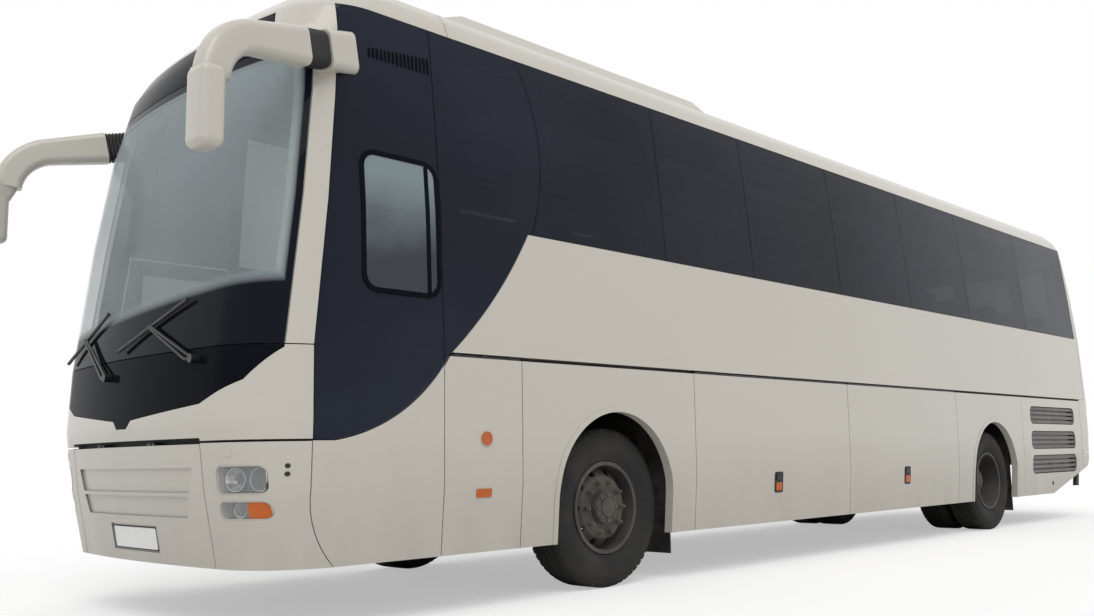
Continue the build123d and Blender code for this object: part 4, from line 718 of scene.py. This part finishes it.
def skirt_finish(centre, normal):
    inside = LOUVRE_X[0] < centre.x < LOUVRE_X[1] and LOUVRE_Z[0] < centre.z < LOUVRE_Z[1]
    depth = depth_in_side(centre)
    # Faces deep behind the slats are black, painted shade inside the louvres.
    if inside and depth > SCREEN_DEPTH:
        return BLACKED
    if inside and depth > SLAT_DEPTH:
        return SLATTED
    return painted_outside(centre, normal)


dressed("skirt_panels", cream_paint, inner_trim, panel_black, slat_metal, choose=skirt_finish)
LID_SLOTS_Z = (0.8995, 1.275)
LID_SLOT_PITCH = 0.058
LID_SLOT_HEIGHT = 0.027
LID_SLOT_HALF = 0.621


def lid_finish(centre, normal):
    slotted = LID_SLOTS_Z[0] < centre.z < LID_SLOTS_Z[1] and abs(centre.y) < LID_SLOT_HALF
    open_part = (centre.z - LID_SLOTS_Z[0]) % LID_SLOT_PITCH < LID_SLOT_HEIGHT
    # The sides of the slots and the hinge tongue in the groove above the lid are black, painted shade.
    if centre.z > SIDE_HINGE_ABOVE or slotted and open_part and normal.x < 0.5:
        return BLACKED
    return painted_outside(centre, normal)


dressed("engine_lid", cream_paint, inner_trim, panel_black, choose=lid_finish)

# Glass: dark navy tinted panes, bonded flush with the sides and the tail and into the door
# leaves. The seats and racks behind them show only faintly.
GLASS_SHADE = 0.8


def pane_wander(tree):
    """A slow change of tone along a pane, from 0 to 1."""
    return steps(tree, noise(tree, 0.45, 3.0, (1, 1, 1.6)), [(0.35, 0.0), (0.7, 1.0)])


def clamped(tree, value):
    """A value held between 0 and 1."""
    return tree.node("ShaderNodeClamp", {}, {"Value": value})


def glass_finish(name, tint, alpha, level):
    """Tinted glass or polished plastic whose tone wanders a little along the pane."""
    material, tree = new_finish(name)
    wander = pane_wander(tree)
    set_surface(tree, {
        "Base Color": mixed(tree, wander, tint, darker(tint, GLASS_SHADE)),
        "Roughness": wander * 0.02 + 0.02,
        "Specular IOR Level": level,
        "Alpha": alpha,
    })
    return material


SIDE_DARK = colour(0.006, 0.0085, 0.018)
SIDE_BLUE = colour(0.016, 0.022, 0.040)
TAIL_SHEEN = colour(0.10, 0.115, 0.14)
SHEEN_FROM_X = -0.5
SHEEN_TO_X = -6.2


def side_finish():
    """Side panes: dark blue-grey, with a painted reflection of open sky that makes them paler towards the
    tail.
    """
    material, tree = new_finish("side_tint")
    along = coordinate(tree, "X")
    wander = pane_wander(tree)
    sheen = clamped(tree, (SHEEN_FROM_X - along) / (SHEEN_FROM_X - SHEEN_TO_X))
    tone = mixed(tree, wander, SIDE_DARK, SIDE_BLUE)
    set_surface(tree, {
        "Base Color": mixed(tree, sheen * (wander * 0.5 + 0.5), tone, TAIL_SHEEN),
        "Roughness": wander * 0.02 + 0.02,
        "Specular IOR Level": 0.18,
        "Alpha": 0.66,
    })
    return material


side_tint = side_finish()
for node in ("side_glass_left", "side_glass_right", "rear_window", "door_front_glass", "door_middle_glass"):
    dressed(node, side_tint)

# Windscreen: one laminated pane, faintly green, with a baked black border along its edges and
# a deep black band over the dashboard. A thin film of dust lies on it in patches, and a pale
# painted sky reflection over the pane grows towards the top.
SCREEN_DUST_AND_SKY = colour(0.44, 0.51, 0.53)
SCREEN_BLACK = colour(0.007, 0.009, 0.014)
BAND_TOP_Z = 1.74
BAND_RISE = 0.07
SCREEN_HEAD_Z = 2.985
SCREEN_FOOT_Z = 1.433
EDGE_FOOT_X = 5.547
EDGE_LEAN = 0.130
BORDER = 0.055
BAND_FADE = 14.0
BORDER_FADE = 40.0


def screen_finish():
    material, tree = new_finish("screen_glass")
    up = coordinate(tree, "Z")
    film = noise(tree, 1.3, 5.0)
    low = (coordinate(tree, "Y") * BAND_RISE + BAND_TOP_Z - up) * BAND_FADE
    high = (up - SCREEN_HEAD_Z) * BORDER_FADE
    edge_x = EDGE_FOOT_X + BORDER - (up - SCREEN_FOOT_Z) * EDGE_LEAN
    side = (edge_x - coordinate(tree, "X")) * BORDER_FADE
    border = clamped(tree, low.math("MAXIMUM", low.math("MAXIMUM", low, high), side))
    # The pale veil is partly dust film in patches and partly painted sky reflection, thicker towards the
    # top.
    dust_and_reflection = film * 0.30 + (up - SCREEN_FOOT_Z) * 0.12 + 0.10
    set_surface(tree, {
        "Base Color": mixed(tree, border, SCREEN_DUST_AND_SKY, SCREEN_BLACK),
        "Roughness": film * 0.04 + 0.02,
        "Specular IOR Level": 0.05,
        "Alpha": clamped(tree, dust_and_reflection + border),
    })
    return material


dressed("windscreen", screen_finish())
gloss_black = glass_finish("gloss_black", colour(0.006, 0.007, 0.011), 1.0, 0.02)
for node in ("wiper_panel", "brow_panel"):
    dressed(node, gloss_black)

# Driver's side window and its vents: a sliding pane in a black rounded frame, bonded into the
# quarter glass, with a fan of slots above it that lets air out of the cab.
WAYS = {"left": (1, 1), "right": (1, -1), "front": (0, 1), "rear": (0, -1)}
RAY_START = 9.0


def laid_on(mesh, node, way):
    """Moves a mesh made on a flat sheet until that sheet lies on a panel's outer face."""
    axis, sign = WAYS[way]
    inward = Vector((0, 0, 0))
    inward[axis] = -sign
    last = 0.0
    for vert in mesh.vertices:
        start = vert.co.copy()
        start[axis] = sign * RAY_START
        hit = cover_of(node).ray_cast(start, inward)[0]
        last = hit[axis] if hit else last
        vert.co[axis] += last
    return mesh


def facing(mesh, way):
    """Turns a sheet drawn in (across, up, out) to face one side of the coach."""
    axis, sign = WAYS[way]
    for vert in mesh.vertices:
        across, up, out = vert.co
        vert.co = ((sign * out, across, up), (across, sign * out, up))[axis]
    work = bmesh.new()
    work.from_mesh(mesh)
    bmesh.ops.recalc_face_normals(work, faces=work.faces)
    work.to_mesh(mesh)
    work.free()
    return mesh


CORNER_POINTS = 6


def rounded(low, high, radius, inset=0.0, along=6):
    """Points around a rectangle with round corners, moved inwards by an inset."""
    radius = max(radius - inset, 0.002)
    edge = inset + radius
    near_a, far_a, near_b, far_b = low[0] + edge, high[0] - edge, low[1] + edge, high[1] - edge
    corners = []
    for number, (a, b) in enumerate(((far_a, far_b), (near_a, far_b), (near_a, near_b), (far_a, near_b))):
        turns = [(number + step / (CORNER_POINTS - 1)) * pi / 2 for step in range(CORNER_POINTS)]
        corners.append([(a + radius * cos(turn), b + radius * sin(turn)) for turn in turns])
    route = []
    for corner, after in zip(corners, corners[1:] + corners[:1]):
        route += corner
        for step in range(1, along):
            route.append([p + (q - p) * step / along for p, q in zip(corner[-1], after[0])])
    return route


def sheet(outline, under, over, hole=None):
    """A flat plate in (across, up, out), with an optional hole of as many points."""
    work = bmesh.new()
    layers = []
    for route in (outline, hole) if hole else (outline,):
        for out in (under, over):
            layers.append([work.verts.new((a, b, out)) for a, b in route])
    for foot, head in zip(layers[::2], layers[1::2]):
        band(work, foot, head)
    if hole:
        band(work, layers[0], layers[2])
        band(work, layers[1], layers[3])
    else:
        work.faces.new(layers[0])
        work.faces.new(layers[1])
        bmesh.ops.triangulate(work, faces=[face for face in work.faces if len(face.verts) > 4])
    return shaped("sheet", work)


def fixed(name, mesh, node, way, finish):
    """A sheet laid on a panel, riding with it."""
    return placed(name, laid_on(facing(mesh, way), node, way), node, finish)


rubber_seal = dusty_finish("rubber_seal", colour(0.012, 0.012, 0.013), 0.55, 0.0, 0.1, 60.0)
DRIVER_PANE = ((4.590, 1.735), (5.125, 2.530))
PANE_CORNER = 0.10
frame_inside = rounded(*DRIVER_PANE, PANE_CORNER, 0.030)
frame_ring = sheet(rounded(*DRIVER_PANE, PANE_CORNER), -0.003, 0.004, frame_inside)
fixed("driver_window_frame", frame_ring, "side_glass_left", "left", gloss_black)
slide_bar = sheet(rounded((4.66, 1.76), (4.69, 2.50), 0.01), -0.003, 0.003)
fixed("driver_window_bar", slide_bar, "side_glass_left", "left", gloss_black)
# The driver's pane is dark at its foot and paler towards its top, a painted sky reflection, with a blurred
# edge between.
CAB_SKY_REFLECTION = colour(0.27, 0.34, 0.36)
CAB_DARK = colour(0.055, 0.062, 0.080)
CAB_Z = (1.95, 2.40)
CAB_BLUR = 0.3
cab_tint_and_reflection, tree = new_finish("cab_tint_and_reflection")
blurred = coordinate(tree, "Z") + noise(tree, 3.0, 2.0) * CAB_BLUR - CAB_BLUR / 2
reflection_rise = clamped(tree, (blurred - CAB_Z[0]) / (CAB_Z[1] - CAB_Z[0]))
set_surface(tree, {
    "Base Color": mixed(tree, reflection_rise, CAB_DARK, CAB_SKY_REFLECTION),
    "Roughness": 0.04,
    "Specular IOR Level": 0.25,
    "Alpha": 0.7,
})
pane = sheet(rounded(*DRIVER_PANE, PANE_CORNER, 0.029), 0.0005, 0.002)
fixed("driver_window_pane", pane, "side_glass_left", "left", cab_tint_and_reflection)
# The vent slots are black sheets laid on the glass, painted shade of the openings.
VENT_AT = (5.02, 3.075)
VENT_SLOT = ((-0.007, 0.0), (0.007, 0.06))
VENT_ROW = {"Count": 16, "Step": (-0.0275, 0, 0), "Growth": 0.05, "Finish": gloss_black}
for side in SIDES:
    slot = facing(sheet(rounded(*VENT_SLOT, 0.006, along=4), -0.002, 0.003), side)
    fan = repeated(slot, ROW, VENT_ROW)
    fan.transform(Matrix.Translation((VENT_AT[0], 0, VENT_AT[1])))
    node = "side_glass_" + side
    placed("cab_vents_" + side, laid_on(fan, node, side), node)

# Front lamps: on each corner two clear lenses over chromed bowls in a dark housing; the lower
# lens has an amber end for the turn signal. They are let into the bumper behind thin seals.
lamp_clear = glass_finish("lamp_clear", colour(0.55, 0.56, 0.57), 0.28, 0.5)
lamp_amber = glass_finish("lamp_amber", colour(0.62, 0.13, 0.012), 0.92, 0.5)
chrome = dusty_finish("chrome", colour(0.75, 0.75, 0.75), 0.12, 1.0)
lamp_grey = dusty_finish("lamp_grey", colour(0.10, 0.10, 0.105), 0.4, 0.2)
AMBER_FROM_Y = 1.075
AMBER_BELOW_Z = 0.67


def front_lens(centre, normal):
    return 1 if centre.z < AMBER_BELOW_Z and abs(centre.y) > AMBER_FROM_Y else 0


dressed("headlamps", lamp_clear, lamp_amber, choose=front_lens)
# columns: bowl's middle, radius, depth
BOWLS = (
    ((5.675, 0.990, 0.765), 0.056, 0.045),
    ((5.600, 1.093, 0.765), 0.056, 0.045),
    ((5.640, 0.985, 0.615), 0.036, 0.030),
)
BOWL_YAW = radians(24)
BOWL_SIDES = 40
BOWL_STEPS = (0.0, 0.25, 0.5, 0.75, 0.92, 1.0)
LENS_Y = (0.925, 1.160)
LENS_ROWS_Z = ((0.700, 0.830), (0.575, 0.655))
SEAL_CORNER = 0.034
WASHER_COVER = ((0.975, 0.878), (1.025, 0.928))
PLUGS_AT = ((5.525, 0.83), (5.525, 0.79))
PLUG_R = 0.012


def on_front(mesh, node, sign):
    """A sheet laid on a front panel, on its left half or mirrored to its right half."""
    mesh = facing(mesh, "front")
    mesh.transform(Matrix.Diagonal((1, sign, 1, 1)))
    return laid_on(mesh, node, "front")


def disc(middle, radius, points=16):
    """Points around a circle."""
    turns = [2 * pi * number / points for number in range(points)]
    return [(middle[0] + radius * cos(turn), middle[1] + radius * sin(turn)) for turn in turns]


for side, sign in SIDES.items():
    bowls = []
    bulbs = []
    for (x, y, z), radius, deep in BOWLS:
        route = [(radius * share, -deep * (1 - share ** 2)) for share in BOWL_STEPS]
        route += [(radius + 0.004, 0.001), (radius + 0.004, -0.006)]
        bulb = [(0.0, 0.006), (0.006, 0.004), (0.009, -0.004), (0.008, -deep + 0.004)]
        place = Matrix.Translation((x, sign * y, z)) @ Matrix.Rotation(sign * BOWL_YAW, 4, "Z")
        place = place @ Matrix.Rotation(radians(-90), 4, "Z")
        for shapes, outline in ((bowls, route), (bulbs, bulb)):
            mesh = turned("bowl", outline, False, BOWL_SIDES)
            mesh.transform(place)
            shapes.append(mesh)
    placed("lamp_bowls_" + side, joined("lamp_bowls", bowls), "headlamps", chrome)
    placed("lamp_bulbs_" + side, joined("lamp_bulbs", bulbs), "headlamps", lamp_clear)
    backs = []
    seals = []
    for row in LENS_ROWS_Z:
        low, high = zip(LENS_Y, row)
        back = sheet(rounded(low, high, 0.029, 0.002, 12), -0.075, -0.070)
        backs.append(on_front(back, "headlamps", sign))
        lip = rounded(low, high, SEAL_CORNER, 0.001, 14)
        seal = sheet(rounded(low, high, SEAL_CORNER, -0.006, 14), -0.004, 0.0015, lip)
        seals.append(on_front(seal, "bumper_front", sign))
    placed("lamp_backs_" + side, joined("lamp_backs", backs), "headlamps", lamp_grey)
    placed("lamp_seals_" + side, joined("lamp_seals", seals), "bumper_front", rubber_seal)
    cover = on_front(sheet(rounded(*WASHER_COVER, 0.012), -0.002, 0.003), "bumper_front", sign)
    placed("washer_cover_" + side, cover, "bumper_front", cream_paint)
    plugs = joined("plugs", [sheet(disc(place, PLUG_R), -0.002, 0.003) for place in PLUGS_AT])
    fixed("corner_plugs_" + side, plugs, "bumper_front", side, rubber_seal)

# Plate carriers: plain white metal plates without marks, each on a black plastic back that is
# screwed to the front flap or to the rear wall.
plate_white = dusty_finish("plate_white", colour(0.92, 0.92, 0.91), 0.35, 0.0, 0.02, 60.0)
PLATE_HALF = 0.260
PLATE_HEIGHT = 0.114
RIM = (0.008, 0.007)
# columns: end of the coach, panel, foot of the plate, how far its back and its face stand out
PLATES = (("front", "front_flap", 0.393, 0.004, 0.007), ("rear", "rear_wall", 1.520, 0.0015, 0.003))
for end, panel, foot, back_out, face_out in PLATES:
    head = foot + PLATE_HEIGHT
    rim = rounded((-PLATE_HALF - RIM[0], foot - RIM[1]), (PLATE_HALF + RIM[0], head + RIM[1]), 0.012)
    fixed(end + "_plate_back", sheet(rim, -0.004, back_out), panel, end, rubber_seal)
    face = rounded((-PLATE_HALF, foot), (PLATE_HALF, head), 0.010)
    fixed(end + "_plate", sheet(face, 0.0, face_out), panel, end, plate_white)

# Roof unit: slots in the rear slope of its plastic cover, which is screwed to the roof, let the
# condenser draw air. Black sheets on the cover stand for the slots, painted shade of the openings.
SLOT_RUN = (-0.45, 0.45)
SLOT_COUNT = 16
SLOT_HALF = 0.017
SLOT_Z = (3.660, 3.755)
slots = []
for number in range(SLOT_COUNT):
    y = SLOT_RUN[0] + (SLOT_RUN[1] - SLOT_RUN[0]) * number / (SLOT_COUNT - 1)
    slot = rounded((y - SLOT_HALF, SLOT_Z[0]), (y + SLOT_HALF, SLOT_Z[1]), 0.015)
    slots.append(sheet(slot, -0.004, 0.002))
fixed("roof_unit_slots", joined("slots", slots), "roof_aircon", "rear", panel_black)

# Markers and latches along the side: round and square amber lenses on the service flap, and
# black latch pockets with an amber lens in the luggage flaps, all let into the panels.
MARKER_AT = (4.273, 0.961)
MARKER_POINTS = 28
marker = sheet(disc(MARKER_AT, 0.040, MARKER_POINTS), -0.002, 0.010)
fixed("round_marker", marker, "service_flap_left", "left", lamp_amber)
rim_inside = disc(MARKER_AT, 0.039, MARKER_POINTS)
rim = sheet(disc(MARKER_AT, 0.048, MARKER_POINTS), -0.002, 0.004, rim_inside)
fixed("round_marker_rim", rim, "service_flap_left", "left", cream_paint)
reflector = sheet(rounded((4.234, 0.628), (4.347, 0.677), 0.008), -0.002, 0.006)
fixed("side_reflector", reflector, "service_flap_left", "left", lamp_amber)
# columns: side and middle of the latch in each of LUGGAGE_FLAPS
LATCHES = (("left", 1.25), ("left", -0.90), ("right", 1.25), ("right", -0.40))
# columns: part of the latch, half width, foot, head, corner radius, how far it stands out, finish
LATCH_PARTS = (
    ("_pocket", 0.058, 0.544, 0.703, 0.018, 0.003, rubber_seal),
    ("_grip", 0.042, 0.640, 0.690, 0.012, 0.010, panel_black),
    ("_lens", 0.040, 0.560, 0.622, 0.010, 0.007, lamp_amber),
)
for node, (side, x) in zip(LUGGAGE_FLAPS, LATCHES):
    for part, half, foot, head, corner, out, finish in LATCH_PARTS:
        plate = sheet(rounded((x - half, foot), (x + half, head), corner), -0.002, out)
        fixed(node + part, plate, node, side, finish)
REFLECTORS_X = (-4.60, -5.05)
REFLECTOR_HALF = 0.03
REFLECTOR_Z = (0.642, 0.672)
FUEL_PLUG_AT = (-4.581, 0.439)
FUEL_PLUG_R = 0.022
for side in SIDES:
    for number, x in enumerate(REFLECTORS_X):
        low, high = zip((x - REFLECTOR_HALF, x + REFLECTOR_HALF), REFLECTOR_Z)
        lens = sheet(rounded(low, high, 0.008), -0.010, 0.004)
        fixed("louvre_reflector_%s_%d" % (side, number), lens, "skirt_panels", side, lamp_amber)
    plug = sheet(disc(FUEL_PLUG_AT, FUEL_PLUG_R), -0.002, 0.003)
    fixed("fuel_plug_" + side, plug, "skirt_panels", side, rubber_seal)

# Tail lamps: moulded plastic lenses at both rear corners, amber over red over clear, screwed to
# the rear wall, and a long red brake lamp above the rear window.
lamp_red = glass_finish("lamp_red", colour(0.33, 0.012, 0.01), 0.95, 0.5)
LENS_RED = colour(0.30, 0.012, 0.010)
LENS_CLEAR = colour(0.42, 0.43, 0.44)
LENS_AMBER = colour(0.55, 0.13, 0.01)
AMBER_FROM_Z = 1.18
RED_FROM_Z = 1.0
LENS_SHARPNESS = 900.0
tail_lens, tree = new_finish("tail_lens")
amber_part = clamped(tree, (coordinate(tree, "Z") - AMBER_FROM_Z) * LENS_SHARPNESS)
clear_part = clamped(tree, (RED_FROM_Z - coordinate(tree, "Z")) * LENS_SHARPNESS)
lower = mixed(tree, clear_part, LENS_RED, LENS_CLEAR)
set_surface(tree, {
    "Base Color": mixed(tree, amber_part, lower, LENS_AMBER),
    "Roughness": noise(tree, 30.0, 2.0) * 0.05 + 0.05,
    "Specular IOR Level": 0.5,
})
dressed("tail_lamps", tail_lens)
high_lamp = sheet(rounded((-0.190, 3.265), (0.190, 3.300), 0.012), -0.004, 0.008)
fixed("high_brake_lamp", high_lamp, "rear_wall", "rear", lamp_red)

# Wipers: two black painted steel arms on pivots in the panel below the screen, with rubber
# blades that rest on the glass.
dressed("wipers", panel_black)

# Mirrors: cream plastic shells on swan-neck arms; the glass faces the driver from the rear of
# each head. Ribbed rubber bellows let the arm give at its foot.
mirror_glass = dusty_finish("mirror_glass", colour(0.62, 0.65, 0.68), 0.03, 1.0)
HEAD_REAR_X = 6.02
HEAD_TOP_Z = 2.66
GLASS, SHELL = 1, 0


def mirror_finish(centre, normal):
    rear_face = centre.x > HEAD_REAR_X and centre.z < HEAD_TOP_Z and normal.x < -0.9
    return GLASS if rear_face else SHELL


dressed("mirrors", cream_paint, mirror_glass, choose=mirror_finish)
# columns: the neck's lower and upper rectangle, as lowest and highest (x, y), and height
NECK = (((6.030, 1.338), (6.150, 1.452), 2.555), ((5.975, 1.318), (6.145, 1.440), 2.665))


def skinned(name, loops):
    """A closed skin over loops of as many points each."""
    work = bmesh.new()
    rings = [[work.verts.new(point) for point in loop] for loop in loops]
    for near, far in zip(rings, rings[1:]):
        band(work, near, far)
    for ring in (rings[0], rings[-1]):
        work.faces.new(ring)
    return shaped(name, work)


for side, sign in SIDES.items():
    loops = []
    for low, high, z in NECK:
        loops.append([(a, sign * b, z) for a, b in rounded(low, high, 0.04, along=2)])
    placed("mirror_neck_" + side, skinned("neck", loops), "mirrors", cream_paint)
ARM_FOOT = Vector((5.435, 1.215, 0))
ARM_HEADING = radians(14.3)
ARM_SLOPE = radians(-12)
ARM_START = 0.058
BELLOWS = (-0.098, 0.0565)
BELLOWS_SIZE = Vector((0.124, 0.200))
BELLOWS_CORNER = 0.045
BELLOWS_Z = 2.985
FOLDS = 7
FOLD_STEPS = 4 * FOLDS
FOLD_DEPTH = 0.10
level = Vector((cos(ARM_HEADING), sin(ARM_HEADING), 0))
across = Vector((sin(ARM_HEADING), -cos(ARM_HEADING), 0))
upward = across.cross(level * cos(ARM_SLOPE) + Vector((0, 0, sin(ARM_SLOPE))))
for side, sign in SIDES.items():
    loops = []
    for step in range(FOLD_STEPS + 1):
        share = step / FOLD_STEPS
        distance = BELLOWS[0] + (BELLOWS[1] - BELLOWS[0]) * share
        middle = ARM_FOOT + level * distance
        middle.z = BELLOWS_Z + (distance - ARM_START) * sin(ARM_SLOPE) / cos(ARM_SLOPE)
        half = BELLOWS_SIZE * (1 - FOLD_DEPTH + FOLD_DEPTH * abs(sin(pi * FOLDS * share))) / 2
        points = []
        for a, b in rounded(-half, half, BELLOWS_CORNER, along=3):
            x, y, z = middle + across * a + upward * b
            points.append((x, sign * y, z))
        loops.append(points)
    folds = placed("bellows_" + side, skinned("bellows", loops), "mirror_bellows", rubber_seal)
    if side == "left":
        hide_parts("mirror_bellows")

# Door mirror: a small black wide-angle mirror beside the right pillar, above the front door,
# on a bent tube that is screwed to the right bracket.
STALK = (
    (5.250, -1.190, 2.950), (5.262, -1.235, 2.880), (5.285, -1.275, 2.780), (5.300, -1.285, 2.660),
    (5.302, -1.285, 2.540),
)
STALK_R = 0.014
route = bpy.data.curves.new("stalk", "CURVE")
route.dimensions = "3D"
route.bevel_depth = STALK_R
route.bevel_resolution = 3
route.use_fill_caps = True
line = route.splines.new("NURBS")
line.points.add(len(STALK) - 1)
for point, place in zip(line.points, STALK):
    point.co = (*place, 1.0)
line.order_u = 3
line.use_endpoint_u = True
holder = bpy.data.objects.new("stalk", route)
tube = bpy.data.meshes.new_from_object(holder)
bpy.data.objects.remove(holder)
tube.materials.clear()
placed("door_mirror_stalk", tube, "mirrors", rubber_seal)
door_head = soft_block((5.268, -1.365, 2.265), (5.335, -1.245, 2.565), 0.022)
placed("door_mirror_head", door_head, "mirrors", rubber_seal)
door_glass = soft_block((5.2655, -1.357, 2.285), (5.2685, -1.253, 2.545), 0.001)
placed("door_mirror_glass", door_glass, "mirrors", mirror_glass)

# Door handles: a flat black plastic grip, screwed to the outside of each leaf near its closing
# edge and below its pane.
HANDLE = (0.06, 0.18)
HANDLE_PROUD = 0.008
# columns: door, rear lower corner of its handle as (x, z)
HANDLES = (("door_front", (4.66, 0.66)), ("door_middle", (-1.94, 1.02)))
for door, (x, z) in HANDLES:
    grip = sheet(rounded((x, z), (x + HANDLE[0], z + HANDLE[1]), 0.02), -0.002, HANDLE_PROUD)
    fixed(door + "_handle", grip, door + "_leaf", "right", rubber_seal)

# Studio floor, light and camera: a wide matt white floor that glows a little for the camera, an
# even white sky with one soft sun, and the camera that was solved from the photograph.
FLOOR_HALF = 80.0
FLOOR_GLOW = 1.75
GLOW_SHARE = 0.25
floor_mesh = bpy.data.meshes.new("studio_floor")
corners = [(x * FLOOR_HALF, y * FLOOR_HALF, 0) for x, y in ((-1, -1), (1, -1), (1, 1), (-1, 1))]
floor_mesh.from_pydata(corners, [], [(0, 1, 2, 3)])
floor = in_scene("studio_floor", floor_mesh)
floor_white, tree = new_finish("floor_white")
matt = tree.node("ShaderNodeBsdfDiffuse", {}, {"Color": colour(0.8, 0.8, 0.8)})
lit = tree.node("ShaderNodeEmission", {}, {"Color": colour(1, 1, 1), "Strength": FLOOR_GLOW})
seen = tree.node("ShaderNodeLightPath", output="Is Camera Ray") * GLOW_SHARE
shown = tree.node("ShaderNodeMixShader", {}, {0: seen, 1: matt, 2: lit})
tree.node("ShaderNodeOutputMaterial", {}, {"Surface": shown})
floor_mesh.materials.append(floor_white)

studio = bpy.data.worlds.new("studio")
studio.use_nodes = True
studio.node_tree.nodes.clear()
bpy.context.scene.world = studio
sky = Wire(studio.node_tree)
seen = sky.node("ShaderNodeLightPath", output="Is Camera Ray")
for ray in ("Is Glossy Ray", "Is Transmission Ray"):
    seen = seen.math("MAXIMUM", seen, sky.node("ShaderNodeLightPath", output=ray))
AMBIENT = 0.72
strength = seen * (1 - AMBIENT) + AMBIENT
light = sky.node("ShaderNodeBackground", {}, {"Color": colour(1, 1, 1), "Strength": strength})
sky.node("ShaderNodeOutputWorld", {}, {"Surface": light})

sun_lamp = bpy.data.lights.new("soft_key", "SUN")
sun_lamp.energy = 1.0
sun_lamp.angle = radians(40)
sun = in_scene("soft_key", sun_lamp)
sun.rotation_euler = Vector((-0.45, -0.55, -0.9)).to_track_quat("-Z", "Y").to_euler()

bpy.context.scene.view_settings.view_transform = "Standard"
IMAGE_WIDTH = 1094
IMAGE_HEIGHT = 616
AXIS_PIXEL = (570.34, 320.32)
CAMERA_AT = Vector((8.28567, 5.82878, 0.85028))
CAMERA_FORWARD = Vector((-0.71399023, -0.6881865, 0.12890809))
CAMERA_UP = Vector((0.0802205, 0.10249388, 0.99149366))
camera_data = bpy.data.cameras.new("camera")
camera_data.sensor_width = 36.0
camera_data.lens = 34.4402
camera_data.clip_end = 300
camera_data.shift_x = (IMAGE_WIDTH / 2 - AXIS_PIXEL[0]) / IMAGE_WIDTH
camera_data.shift_y = (AXIS_PIXEL[1] - IMAGE_HEIGHT / 2) / IMAGE_WIDTH
camera = in_scene("camera", camera_data)
right = CAMERA_FORWARD.cross(CAMERA_UP)
turn = Matrix((right, CAMERA_UP, -CAMERA_FORWARD)).transposed()
camera.matrix_world = Matrix.Translation(CAMERA_AT) @ turn.to_4x4()
bpy.context.scene.camera = camera
